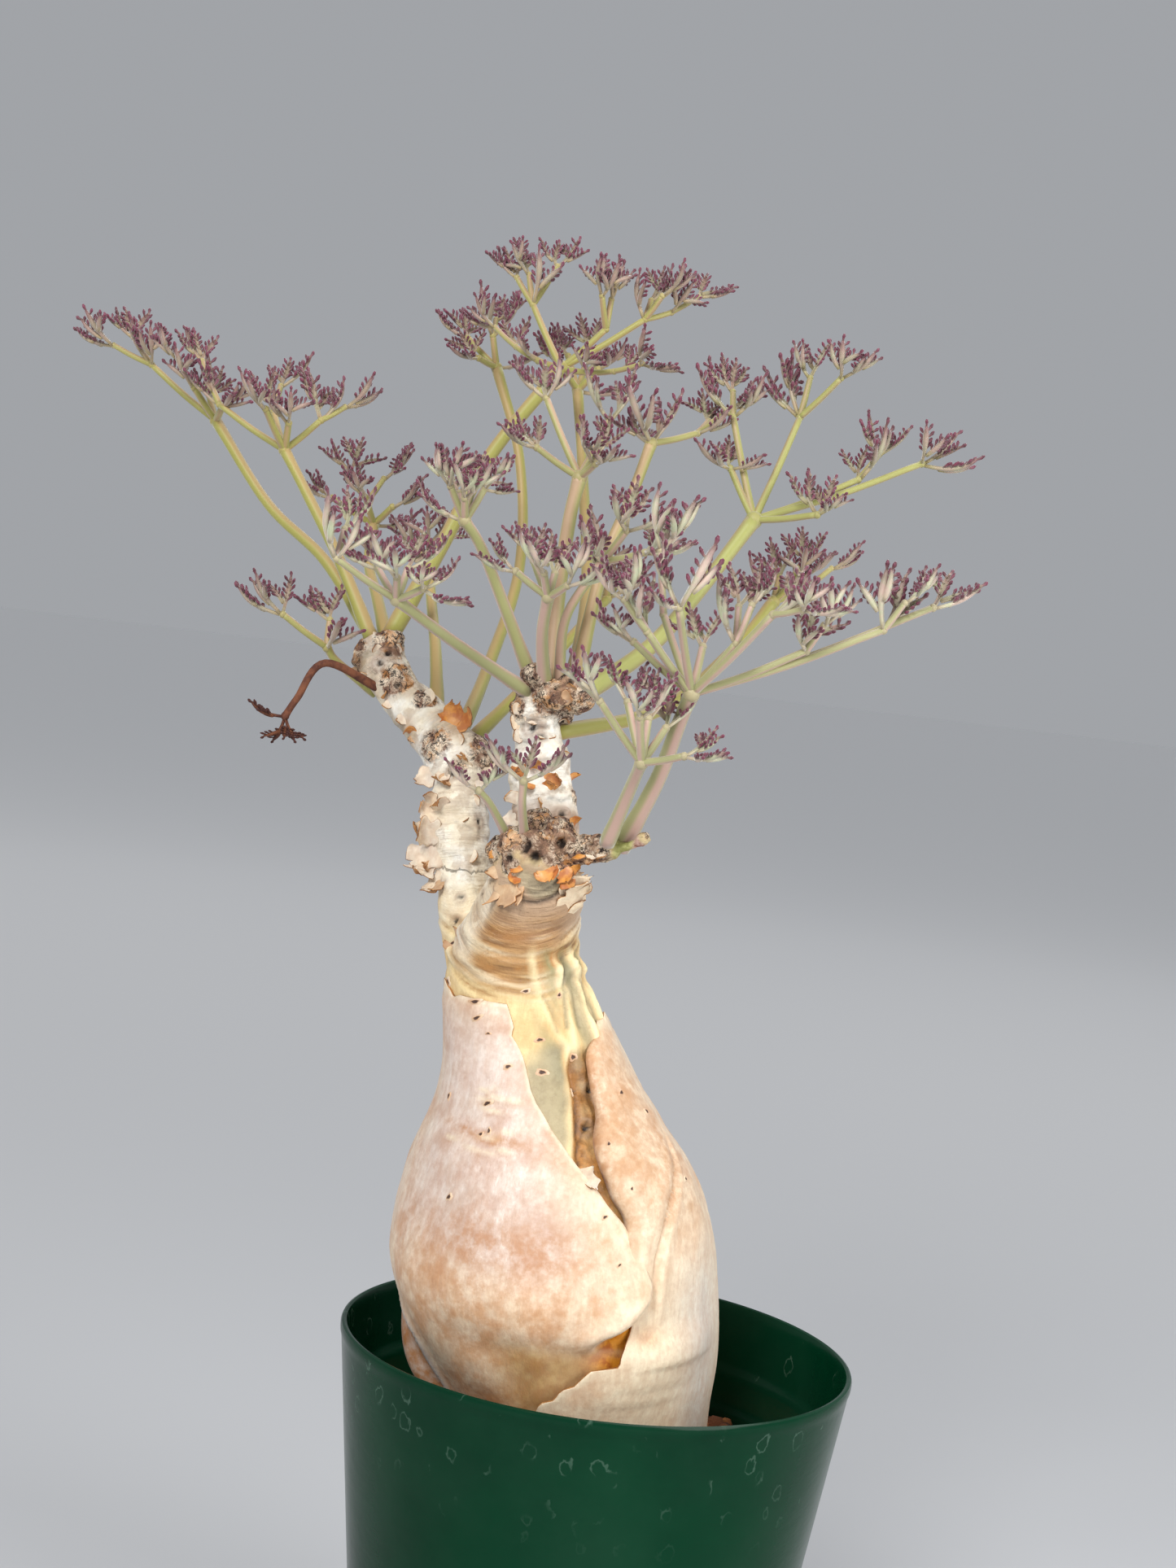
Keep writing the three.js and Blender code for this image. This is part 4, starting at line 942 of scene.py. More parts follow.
# %% [markdown]
# ### Marks placed from the view
#
# Small features, such as breathing pores, leaf scars and cracks, sit where the camera
# sees them. A ray cast from the camera through a point of the picture finds the place on
# the skin that carries the feature, so it lies on the form from every side. At the back
# nothing is seen, so the same features are strewn there by their x and height, and rays
# from straight behind find them.

# %% Cast rays from the camera
IMAGE_WIDTH = 1445
EYE = np.array(CAMERA_PLACE) / MM
PICTURE_RIGHT, PICTURE_UP, AHEAD = camera_axes()
# Rays from behind start at this y.
BEHIND = 150.0


def where_hit(tree, start, direction):
    """The point and normal of a surface where a ray meets it."""
    hit, normal, _, _ = tree.ray_cast(start, direction)
    return (np.array(hit), np.array(normal)) if hit else (None, None)


def seen_on(tree, across, down):
    """The same for a picture point, given in pixels from the upper left corner."""
    right = (across - IMAGE_WIDTH / 2) / FOCAL_PIXELS
    up = (IMAGE_HEIGHT / 2 - down) / FOCAL_PIXELS
    return where_hit(tree, EYE.tolist(), unit(AHEAD + PICTURE_RIGHT * right + PICTURE_UP * up).tolist())


def found_behind(tree, across, height):
    """The same at the back, for an x and a height."""
    return where_hit(tree, (across, BEHIND, height), (0.0, -1.0, 0.0))


trunk_tree = BVHTree.FromPolygons(skin.tolist(), skin_quads.tolist())
print("the neck in the middle of its wrinkles:", seen_on(trunk_tree, 650, 1180)[0].round(1))

# %% Where the scars and cracks are
# Picture point, radius, depth and height of the rim around it.
SCARS = [
    (647, 1039, 1.3, 1.7, 0.4), (658, 1053, 1.6, 1.8, 0.3), (645, 1047, 0.8, 0.9, 0.1),
    (690, 1036, 1.1, 1.0, 0.8), (691, 1001, 0.9, 0.6, 0.6), (705, 1012, 0.9, 0.8, 0.3),
    (626, 1055, 0.9, 0.5, 0.4), (614, 1036, 0.8, 0.7, 0.2), (632, 1002, 0.6, 0.6, 0.2),
    (700, 838, 0.9, 0.8, 0.4), (695, 855, 0.9, 0.8, 0.3), (683, 846, 0.6, 0.6, 0.3),
    (640, 852, 0.8, 0.7, 0.3), (655, 895, 1.1, 0.5, 0.25), (664, 905, 0.7, 0.5, 0.2),
    (441, 812, 0.9, 0.9, 0.3), (466, 815, 0.9, 0.8, 0.3), (477, 803, 0.9, 0.8, 0.3),
    (450, 850, 1.0, 0.6, 0.4), (457, 862, 0.9, 0.6, 0.3), (489, 842, 0.7, 0.5, 0.3),
    (556, 950, 0.8, 0.5, 0.3), (545, 1085, 0.5, 0.4, 0.2), (593, 1098, 0.5, 0.35, 0.15),
    (566, 1103, 0.6, 0.4, 0.2), (560, 1132, 0.6, 0.4, 0.15), (727, 1036, 0.6, 0.5, 0.3),
    (716, 1028, 0.5, 0.4, 0.2), (745, 1035, 0.45, 0.4, 0.2), (588, 1010, 0.8, 0.3, 0.2),
    (719, 1386, 1.0, 0.5, 0.35), (724, 1340, 0.8, 0.4, 0.2),
]
# The same at the back, by x and height.
BACK_SCARS = [
    (-34, 160, 1.0, 0.5, 0.4), (-36.5, 169, 0.9, 0.5, 0.35), (-34, 176, 1.1, 0.6, 0.4),
    (-44, 187, 1.0, 0.6, 0.4), (-51, 192.6, 1.0, 0.6, 0.4), (-56, 198, 0.9, 0.6, 0.4),
    (-19, 166, 1.0, 0.5, 0.4), (-22, 174, 1.1, 0.6, 0.4), (-20, 182, 0.9, 0.5, 0.4),
    (-24.4, 188.4, 1.0, 0.6, 0.4), (-26, 153, 0.8, 0.4, 0.3), (-15, 141, 0.8, 0.35, 0.25),
    (-21, 128, 0.8, 0.35, 0.25), (-12, 118, 0.9, 0.35, 0.25), (-18, 106, 0.8, 0.35, 0.25),
    (-9, 96, 0.9, 0.35, 0.25), (-13, 85, 0.8, 0.35, 0.25),
]
# Depth, half width and darkness of a torn or folded line, and the picture points it passes. The darkness is
# painted shade along the line.
CRACKS = [
    (0.4, 0.45, 0.9, [(634, 1100), (645, 1107), (657, 1109), (668, 1107), (680, 1102), (690, 1094)]),
    (0.3, 0.35, 0.5, [(645, 1094), (660, 1097), (676, 1091), (688, 1080)]),
    (0.25, 0.3, 0.4, [(650, 1086), (662, 1089), (676, 1083)]),
    (0.5, 0.5, 0.55, [(692, 1178), (694, 1205), (695, 1232), (698, 1262)]),
    (0.45, 0.45, 0.4, [(716, 1190), (718, 1215), (726, 1243), (740, 1268)]),
    (0.4, 0.4, 0.35, [(668, 1225), (678, 1243), (686, 1268)]),
    (0.35, 0.35, 0.3, [(703, 1200), (706, 1230), (712, 1262)]),
    (0.3, 0.4, 0.8, [(706, 1340), (707, 1370), (708, 1400), (709, 1432)]),
    (0.3, 0.35, 0.6, [(716, 1352), (722, 1376), (714, 1398), (716, 1420)]),
    (0.25, 0.35, 0.5, [(630, 878), (645, 884), (662, 883), (680, 877), (692, 871)]),
    (0.3, 0.4, 0.7, [(632, 894), (648, 889), (668, 893), (690, 886)]),
    (0.3, 0.45, 0.6, [(632, 908), (650, 912), (670, 907), (692, 902)]),
    (0.25, 0.3, 0.4, [(634, 930), (656, 935), (680, 930), (698, 922)]),
    (0.25, 0.3, 0.45, [(672, 950), (686, 955), (698, 950)]),
    (0.25, 0.35, 0.5, [(676, 980), (690, 984), (702, 978)]),
    (0.2, 0.3, 0.35, [(560, 1010), (580, 1018), (602, 1016), (620, 1006)]),
    (0.2, 0.3, 0.3, [(572, 1044), (592, 1052), (612, 1048)]),
]
# Picture points of the green skin under the knobs.
SAGE_SPOTS = [(652, 1076), (662, 1088), (676, 1086)]
print("scars and cracks:", len(SCARS + BACK_SCARS), len(CRACKS))

# %% Hollow the leaf scars and tear the cracks
def found_all(tree, front, back=()):
    """Where the features of the front and the back lie, with the rest of what is given."""
    found = [(*seen_on(tree, *feature[:2]), *feature[2:]) for feature in front]
    found += [(*found_behind(tree, *feature[:2]), *feature[2:]) for feature in back]
    return [feature for feature in found if feature[0] is not None]


hollow, ring_mark, sage = np.zeros((3, len(skin)))
for place, _, radius, depth, rim in found_all(trunk_tree, SCARS, BACK_SCARS):
    gap = nearness(place, skin, radius)
    near = gap < 4
    gap = gap[near]
    pushed = rim * bump(1.35, 0.45, gap) - depth * bump(0, 0.75, gap)
    skin[near] += skin_normals[near] * pushed[:, None]
    hollow[near] = np.maximum(hollow[near], ease(0.3, 0.75, bump(0, 0.85, gap)))
    ring_mark[near] = np.maximum(ring_mark[near], bump(1.4, 0.6, gap))
for depth, half_width, darkness, picture_points in CRACKS:
    found = [place for place, _ in found_all(trunk_tree, picture_points)]
    if len(found) > 1:
        torn = bump(0, half_width, np.min([nearness(p, skin) for p in smooth_path(found, 40)], axis=0))
        skin = skin - skin_normals * (depth * torn)[:, None]
        hollow = np.maximum(hollow, darkness * torn)
for place, _ in found_all(trunk_tree, SAGE_SPOTS):
    sage = np.maximum(sage, 1 - ease(1.8, 3.0, nearness(place, skin)))
print("scars found on the skin:", int((hollow > 0.9).sum()))

# %% Mark the tones of the skin
# The left side of the neck runs smooth and pale into the left stem.
shoulder = within(-2.0, -0.62, 0.18, bearing) * within(144.0, 158.0, 2.0, hang) * on_body
scar *= 1 - sage
neck = within(150.0, 164.0, 2.0, hang) * (1 - scar) * on_body * (1 - 0.8 * shoulder)
golden = within(142.6, 156.0, 1.6, hang) * within(-1.2, 0.8, 0.25, bearing) * on_body
golden *= (1 - 0.2 * ease(-0.5, 0.3, bearing)) * (1 - 0.25 * np.clip(wrinkle, 0, 1))
golden *= (1 - 0.35 * ease(152, 156, hang)) * (1 - 0.8 * shoulder)
weathered = on_stem[LEFT] * ease(180, 185, height) * (1 - scar) * ease(-0.5, 0.3, ripple(skin, 4.0, 33))
strip_top = 133 + 0.1 * degrees + 1.2 * ripple(skin, 2.6, 22)
strip = within(-30, -4.5, 3.0, past_split + 2.5 * ripple(skin, 3.0, 21))
strip *= within(108.0, strip_top, 1.6, height)
olive = within(44, 70, 4, degrees) * within(130.0, 148.0, 3.0, height)
strip += 0.7 * olive * (1 - ease(0, 0.5, fold - 0.4)) + 0.9 * sage
strip += 0.6 * weathered * ease(-0.3, 0.4, ripple(skin, 2.5, 34))
skin_marks = {
    "scar": scar,
    # The wrinkles: their hollows take painted shade and their ridges take painted highlight.
    "line": np.clip(collar * wrinkle, -1, 1) * (1 - 0.5 * shoulder),
    # The folds: their valleys take painted shade, and their ridges, with the ridge beside the split, take
    # painted highlight.
    "fold": np.clip(folded * (fold - 0.35) + 0.5 * stem_foot * fold + 0.7 * ridge, -1, 1),
    "strip": np.clip(strip, 0, 1),
    "stem": np.maximum(stem_like, 0.8 * shoulder),
    "neck": neck,
    "amber": np.clip(0.85 * valley * (1 + 0.4 * ripple(skin, 1.6, 18)) + furrow, 0, 1),
    # Scar pits, cracks, creases and the top of the valley under the lip, painted near-black as shade.
    "hollow": np.maximum(hollow, 0.36 * ease(118, 130, height) * valley),
    "rim": np.maximum(ring_mark, stub * ease(-4.4, -3.4, skin[:, 0])),
    "stub": stub,
    "level": level,
    "golden": np.maximum(golden, 0.5 * weathered),
}
trunk = Clay(*skin_marks)
trunk.add(skin, [skin_quads], **skin_marks)
print("marks of the trunk:", *skin_marks)

# %% [markdown]
# ## Peeling bark
#
# The caudex outgrows its outer bark, which splits into two great sheets. The left one
# ends in a free lobe that stands off like a chin. The right one rolls inward at its upper
# edge, and its torn lower corner laps over the left sheet's foot. A solidified plane
# would keep the same thickness and curl everywhere, so each sheet is a grid over the
# caudex, given row by row by the bearings of its two edges. A lift above the skin is
# worked out for every point, and a second grid just under the first makes the back.

# %% The edges of the two sheets
# Height, bearing of the left edge, bearing of the right edge and lift off the skin.
LEFT_SHEET = [
    (58, -150, 0, 1.1), (64, -151, 1, 1.1), (70, -152, 4, 1.1), (75, -152, 10, 1.1),
    (79, -152, 23, 1.2), (83, -152, 28, 1.3), (86.2, -152, 29, 1.6), (88.4, -152, 29, 2.0),
    (89.9, -152, 28.5, 2.3), (91.5, -152, 29, 2.4), (93.6, -152, 31, 2.4), (95.8, -151, 34, 2.3),
    (98.3, -150, 37.2, 2.0), (100.5, -149, 37, 1.8),
    (103, -148, 35, 1.5), (107, -146, 31, 1.2), (111.2, -144, 24, 1.1), (117.1, -140, 14, 1.1),
    (122.2, -136, 5, 1.1), (127, -132, -1, 1.1), (132.6, -126, -3, 1.1), (135.6, -123, -7.5, 1),
    (136.5, -122, -9, 1), (137.1, -121, -5, 1), (141, -112, -7, 0.9),
]
RIGHT_SHEET = [
    (58, -26, 172, 0.6), (64, -20, 172, 0.6), (70, -16, 172, 0.6), (74, -12, 172, 0.6),
    (76.3, -9, 172, 0.6), (78.3, -5.5, 172, 0.6), (79.2, -1, 172, 0.6), (81.2, 2.5, 172, 0.6),
    (82.0, 6.5, 172, 0.6), (83.4, 9, 172, 0.6), (85.4, 13.5, 172, 0.6), (85.8, 17, 172, 0.6),
    (84.9, 19.5, 172, 0.6), (86.4, 22.5, 172, 0.6), (88.3, 24, 172, 0.7), (93.2, 29.5, 172, 0.8),
    (98, 27.5, 172, 1.2),
    (104, 28.5, 172, 2), (108.8, 30, 171, 2.5), (112.4, 26, 170, 2.8), (117.3, 24, 168, 2.8),
    (120.9, 25, 165, 2.7), (124.5, 31, 162, 2.5), (129.5, 35, 156, 2), (134.5, 43, 150, 1.6),
    (138.5, 66, 140, 1),
]
SHEET_THICKNESS = 0.42
SHEET_GRID = 0.72
# Millimetres of skin to a radian of bearing.
ARC = 27.0


def sheet_grid(rows, *raggedness):
    """Heights and bearings over a sheet, with its edges and base lift at every point."""
    rows = np.array(rows, float)
    heights = np.linspace(rows[0, 0], rows[-1, 0], int(np.ptp(rows[:, 0]) / SHEET_GRID))
    smooth = smooth_path(rows, 12 * (len(rows) - 1))
    left, right, lift = (np.interp(heights, smooth[:, 0], smooth[:, i]) for i in (1, 2, 3))
    # The torn edges, which are changed in place.
    for number, (edge, ragged) in enumerate(zip((left, right), raggedness)):
        tears = ripple_along(heights, 2.6, 2 * number + 1)
        tears += 0.6 * ripple_along(heights, 1.1, 2 * number + 2)
        edge += ragged * tears + max(ragged - 1, 0) * 3.2 * ripple_along(heights, 9.0, number + 5)
    columns = int(math.radians((right - left).max()) * ARC / SHEET_GRID)
    bearing = np.radians(left[:, None] + (right - left)[:, None] * np.linspace(0, 1, columns))
    height = np.repeat(heights[:, None], columns, axis=1)
    torn_top = ripple_along(bearing * ARC, 5.0, 7) * ease(0.7, 1.2, abs(bearing))
    height = height + 1.8 * torn_top * ease(-7, 0, height - heights[-1])
    return height, bearing, np.radians(left)[:, None], np.radians(right)[:, None], lift[:, None]


def add_sheet(clay, outer, thickness, **marks):
    """A grid of outer points made into a thin sheet with a back and closed edges."""
    shape = rows, columns = outer.shape[:2]
    normals = unit(np.cross(np.gradient(outer, axis=1), np.gradient(outer, axis=0)))
    inner = outer - normals * thickness
    count, front = rows * columns, sheet_faces(rows, columns)
    number = np.arange(count).reshape(rows, columns)
    loop = np.concatenate([number[0], number[1:, -1], number[-1, -2::-1], number[-2:0:-1, 0]])
    following = np.roll(loop, -1)
    rim = np.stack([loop, loop + count, following + count, following], -1)
    both = {name: np.tile(np.broadcast_to(mark, shape).ravel(), 2) for name, mark in marks.items()}
    clay.add(np.stack([outer, inner]), [front], backs=(front[:, ::-1] + count, rim), **both)


print("rows in the left sheet:", len(sheet_grid(LEFT_SHEET, 3.4, 0.55)[0]))

# %% Lift the left sheet
def bark_undulation(surface, seed):
    """The slow swell and fine crinkle of papery bark, in millimetres."""
    drawn_out = surface * [1, 1, 0.45]
    creases = bump(0, 0.07, ripple(surface, 10.0, seed + 4))
    creases += 0.5 * bump(0, 0.08, ripple(drawn_out, 6.0, seed + 5))
    swell = 0.55 * ripple(surface, 15.0, seed) + 0.28 * ripple(surface, 6.5, seed + 1)
    swell -= 0.4 * ease(-4, 10, surface[..., 1]) * creases
    return swell + 0.08 * ripple(drawn_out, 2.2, seed + 2) + 0.035 * ripple(surface, 0.9, seed + 3)


# Height, bearing and slope of the scratches across the left sheet.
SCRATCHES = [
    (124.8, -30, 2), (125.6, -20, -3), (125.6, -13, 3), (117.8, -45, 4), (119.1, -26, 3),
    (117.2, -34, -2), (123.6, -24, 1), (126.6, -27, 4), (120.6, -16, 5), (117.4, -20, 4),
]


def left_sheet(clay):
    height, bearing, left, right, lift = sheet_grid(LEFT_SHEET, 3.4, 0.55)
    surface = on_caudex(height, bearing)
    to_top = LEFT_SHEET[-1][0] - height
    over_fold = ease(86.4, 88.8, height)
    # The free lobe, which stands off like a chin and turns in at its edge.
    lobe_end = np.radians(np.interp(height, (88.4, 89.9, 91.5, 93.6, 95.8), (15, 18, 24, 30, 34)))
    lobe_end = np.where(height < 95.8, np.minimum(lobe_end, right), right)
    to_right = (lobe_end - bearing) * ARC
    free = 1 - ease(0, 7, to_right)
    chin = bump(95, 9.5, height)
    turned_in = 1 - np.sqrt(np.clip(1 - (1 - np.clip(to_right / 2.6, 0, 1)) ** 2, 0, 1))
    turned_in *= np.interp(height, (84, 87, 96, 100, 107), (0, 2.2, 2.2, 1.0, 0))
    # The part that lies under the right sheet.
    tucked = ease(-0.3, 1.1, -to_right) * over_fold * (height < 95.8)
    tucked = np.maximum(tucked, ease(0.0, 0.42, bearing) * (1 - over_fold))
    # The torn edge low on the left, with older bark below it that stands off like a skirt.
    low_edge = np.interp(height, (60, 75.6, 79, 81.5, 84.4, 87, 91), (-54, -57, -59, -60, -65, -72, -84))
    past_edge = bearing - np.radians(low_edge)
    below_edge = (1 - ease(-0.025, 0.025, past_edge)) * (1 - ease(84, 91, height))
    shaded = below_edge * (1 - ease(-0.16, -0.06, past_edge))
    # The lit rim of the curled edge, painted as a silver highlight.
    curled = bump(0.0, 0.06, past_edge) * (1 - ease(84, 89, height))
    skirt = ease(0.1, 0.32, -past_edge) * (1 - ease(73, 87, height)) * (1 - ease(1.6, 2.3, -bearing))
    # Scratches, as light lines with a dark line of painted shadow under each.
    streaks, under = np.zeros_like(height), np.zeros_like(height)
    for level, line_bearing, slope in SCRATCHES:
        line_level = height - level - slope * (bearing - math.radians(line_bearing))
        here = bump(math.radians(line_bearing), 0.1, bearing)
        streaks += bump(0, 0.3, line_level) * here
        under += bump(-0.7, 0.4, line_level) * here

    recess = bump(82.5, 5.0, height) * within(-0.35, 0.6, 0.2, bearing)
    low_fold = bump(88.0 + 5 * (bearing - 0.1), 1.8, height) * within(-0.5, 0.35, 0.2, bearing)
    reach = 0.75 + (lift - 0.75) * ease(-1.3, -0.1, bearing)
    reach += free * (1.7 * chin - 0.5 * (1 - chin)) - 0.9 * below_edge - turned_in - 0.8 * recess
    reach += bark_undulation(surface, 20) - 0.45 * (1 - ease(0, 2.5, to_top))
    reach += 1.1 * (1 - ease(0, 5, (bearing - left) * ARC)) * (1 + ripple(surface, 6.0, 26))
    reach = np.maximum(reach * (1 - tucked) + 0.4 * tucked, 0.35)
    reach += 0.12 * streaks - 0.08 * under - 0.25 * low_fold + 0.9 * curled + 4.2 * skirt

    lilac = within(-1.3, 0.1, 0.4, bearing) * ease(92, 108, height) * (1 - 0.5 * ease(134, 141, height))
    band = bump(118.6 - 1.4 * bearing, 0.9, height) * within(-0.95, -0.1, 0.14, bearing)
    foot = (1 - ease(66, 88, height)) * within(-1.0, 0.0, 0.25, bearing)
    foot += 0.3 * within(84, 106, 4, height) * within(-1.2, 0.2, 0.2, bearing)
    blots = bump(104, 5, height) * within(-0.6, 0.15, 0.2, bearing)
    # Cream along the free edge and the top edge is painted highlight; the streaks add the pale of the
    # scratches.
    edge = (1 - ease(0.2, 1.6, to_right)) * over_fold * (1 - tucked)
    edge = np.maximum(edge, 1 - ease(0.2, 1.2, to_top)) + 1.4 * streaks
    add_sheet(
        clay, on_caudex(height, bearing, reach), SHEET_THICKNESS,
        lilac=np.clip(lilac + 0.9 * below_edge + 0.5 * blots, 0, 1),
        # warm: brown-orange at the foot and in the band, and painted shade under the scratches and beside
        # the curled edge.
        warm=np.clip(1.3 * foot + 0.7 * band + 0.25 * blots + 0.5 * under + 0.9 * shaded, 0, 1.2),
        # cream: painted highlight on the edges and the chin, and the pale scratches.
        cream=np.clip(edge + 0.55 * free * within(96, 116, 4, height), 0, 1),
        # silver: painted highlight on the curled rim, and the older bark below the torn edge.
        silver=np.clip(1.6 * curled + 0.4 * below_edge - 0.5 * shaded, 0, 1.6),
        # ochre: a painted orange glow on the part tucked under the right sheet.
        ochre=tucked * within(78, 96, 2.5, height) * ease(0.1, 0.36, bearing),
        # olive: painted shade in the recess under the chin.
        olive=within(75, 87.5, 2.5, height) * within(-0.32, 0.6, 0.16, bearing),
    )


BARK_MARKS = "lilac", "warm", "cream", "silver", "ochre", "olive", "pore"
bark_left = Clay(*BARK_MARKS)
left_sheet(bark_left)
print("points in the left sheet:", bark_left.count)

# %% Roll the right sheet
# The long crease behind the rolled edge, as heights and bearings in degrees.
CREASE_LINE = (90, 98, 103, 107, 112, 115, 118, 122), (36, 38, 40, 44, 50, 56, 63, 70)


def right_sheet(clay):
    height, bearing, left, right, lift = sheet_grid(RIGHT_SHEET, 0.6, 3.4)
    surface = on_caudex(height, bearing)
    to_left = (bearing - left) * ARC
    rolled = ease(94, 103, height)
    lip = np.sqrt(np.clip(1 - (1 - np.clip(to_left / 3.4, 0, 1)) ** 2, 0, 1))
    flap = (1 - ease(86, 93, height)) * (1 - ease(6, 26, to_left))
    settle = 1 - ease(math.radians(58), math.radians(100), bearing)
    reach = lift * (1 - rolled + rolled * lip) + 2.1 * flap
    reach = 0.75 + (reach - 0.75) * np.maximum(settle, 0.25)
    crease = (bearing - np.radians(np.interp(height, *CREASE_LINE))) * ARC
    creased = within(93, 120, 3, height)
    reach += creased * (0.35 * bump(-2.4, 1.6, crease) - 0.9 * bump(0, 0.55, crease))
    reach += creased * (0.35 * bump(1.5, 1.0, crease) - 0.22 * bump(-1.7, 0.45, crease))
    waves = bark_undulation(surface, 40) * (0.35 + 0.65 * ease(1, 6, to_left))
    low_front = (1 - ease(96, 104, height)) * (1 - ease(1.5, 1.9, bearing))
    upright = np.stack([bearing * ARC, height * 0.1, height * 0], -1)
    reach += waves * (1 - 0.6 * low_front) + 0.22 * low_front * ripple(upright, 3.2, 47)
    reach += 1.1 * (1 - ease(0, 5, (right - bearing) * ARC)) * (1 + ripple(surface, 6.0, 46))
    dimple = bump(90.5, 1.6, height) * bump(math.radians(35), 0.09, bearing)
    reach = np.maximum(reach - 0.7 * dimple, 0.3)

    # The free edges and the top edge take cream, as painted highlight.
    edge = (1 - ease(0.2, 1.8, to_left)) * (1 - rolled)
    edge += 1 - ease(0.3, 1.4, RIGHT_SHEET[-1][0] - height)
    blue = within(math.radians(53), math.radians(76), 0.25, bearing) * (1 - ease(90, 112, height))
    warm = within(0.35, 1.3, 0.15, bearing) * within(106, 136, 4, height) * 0.6
    # Painted shade on the rolled edge, in the dimple and along the crease.
    warm += 0.6 * rolled * (1 - ease(0, 2.4, to_left)) + 0.9 * dimple + 0.5 * creased * bump(0, 0.5, crease)
    # The lower front is painted paler with cream, as highlight.
    fair = within(0.3, 1.5, 0.15, bearing) * (1 - 0.6 * ease(104, 118, height))
    add_sheet(
        clay, on_caudex(height, bearing, reach), SHEET_THICKNESS, warm=np.clip(warm, 0, 1),
        cream=np.clip(edge + 0.6 * fair + 0.4 * low_front, 0, 1),
        # The ochre of the dimple is painted shade too.
        silver=0.8 * blue + 0.2 * low_front * ease(0.7, 1.0, bearing), ochre=0.3 * dimple,
    )


bark_right = Clay(*BARK_MARKS)
right_sheet(bark_right)
print("points in the right sheet:", bark_right.count)

# %% [markdown]
# ### Pores and flakes
#
# Breathing pores are short dark slits with a raised brown rim, strewn over the bark. Each
# is a small cushion with a sunken middle, pressed onto the surface that a ray finds. The
# flakes are scraps of old bark that have dried and curled away from the stems: cream,
# brown, and rusty where fresh cork shows, with a broad sheath beside the neck and others
# at the back. A flake is a narrow grid that leaves the stem along its skin and then bends
# away from it by a steady curl, as drying paper does.

# %% Press on the pores
PORE_ROWS, PORE_SIDES = 6, 14
# Picture point, half length, half width and turn in degrees.
PORES = [
    (584, 1231, 1.1, 0.45, 4), (586, 1251, 1.0, 0.4, 20), (624, 1311, 0.7, 0.42, 20),
    (599, 1356, 1.0, 0.42, 24), (552, 1347, 0.7, 0.4, 60), (552, 1471, 0.7, 0.5, 20),
    (591, 1394, 0.5, 0.4, 10), (601, 1390, 0.6, 0.35, 80), (666, 1318, 0.9, 0.5, 0),
    (663, 1278, 0.8, 0.35, 10), (704, 1299, 0.6, 0.6, 40), (703, 1343, 0.7, 0.6, 0),
    (763, 1343, 0.7, 0.45, 60), (748, 1406, 0.5, 0.35, 80), (776, 1461, 0.4, 0.3, 70),
    (743, 1496, 0.6, 0.3, 30), (761, 1555, 0.5, 0.2, 40), (794, 1366, 0.6, 0.5, 0),
    (646, 1218, 0.7, 0.35, 8), (687, 1223, 0.5, 0.35, 60), (551, 1207, 0.7, 1.0, 80),
    (556, 1160, 0.6, 0.9, 80), (600, 1270, 0.5, 0.2, 0), (842, 1449, 0.5, 0.4, 60),
]
# The same at the back, by x and height.
BACK_PORES = [
    (-26, 120, 0.9, 0.4, 10), (-29, 108, 0.8, 0.4, 30), (2, 112, 0.9, 0.4, 5), (6, 98, 0.8, 0.4, 60),
    (12, 88, 0.9, 0.4, 20), (-33, 92, 0.8, 0.45, 15), (-1, 126, 0.7, 0.35, 0), (9, 106, 0.6, 0.35, 70),
]
# Reach, height and darkness of each ring of a pore, from its foot to its middle.
PORE_RINGS = np.array([
    (1.35, -0.05, 0.0), (1.0, 0.1, 0.12), (0.78, 0.17, 0.3), (0.54, 0.15, 0.8), (0.34, 0.11, 1.0),
    (0.1, 0.08, 1.0),
])


def add_pore(clay, place, normal, length, width, turn, seed):
    """A low oval cushion with a dark slit in its middle."""
    across = unit(PICTURE_RIGHT - normal * (PICTURE_RIGHT @ normal))
    upward = np.cross(normal, across)
    cosine, sine = math.cos(math.radians(turn)), math.sin(math.radians(turn))
    bearing = bearings(PORE_SIDES)
    wobble = 1 + 0.14 * np.sin(bearing * 3 + seed) + 0.1 * np.sin(bearing * 5 + 2 * seed)
    ring = np.outer(np.cos(bearing) * length * wobble, across * cosine + upward * sine)
    ring = ring + np.outer(np.sin(bearing) * width * wobble, upward * cosine - across * sine)
    reaches, rises, darkness = PORE_RINGS.T
    points = place + reaches[:, None, None] * ring + (rises[:, None] * normal)[:, None]
    # The foot, which nobody sees, stays open.
    clay.add(points, tube_faces(PORE_ROWS, PORE_SIDES)[::2], pore=np.repeat(darkness, PORE_SIDES))


def tree_of(*clays):
    """One surface to cast rays on, from several pieces of clay."""
    points = np.concatenate([clay.all_points() for clay in clays]).tolist()
    faces, start = [], 0
    for clay in clays:
        faces += [tuple(f + start) for block in clay.faces for f in block]
        start += clay.count
    return BVHTree.FromPolygons(points, faces)


bark_tree = tree_of(trunk, bark_left, bark_right)
details = Clay(*BARK_MARKS)
found = [(seen_on(bark_tree, *pore[:2]), pore[2:]) for pore in PORES]
found += [(found_behind(bark_tree, *pore[:2]), pore[2:]) for pore in BACK_PORES]
for seed, ((place, normal), form) in enumerate(found):
    if place is not None:
        add_pore(details, place, normal, *form, seed)
print("points in the pores:", details.count)

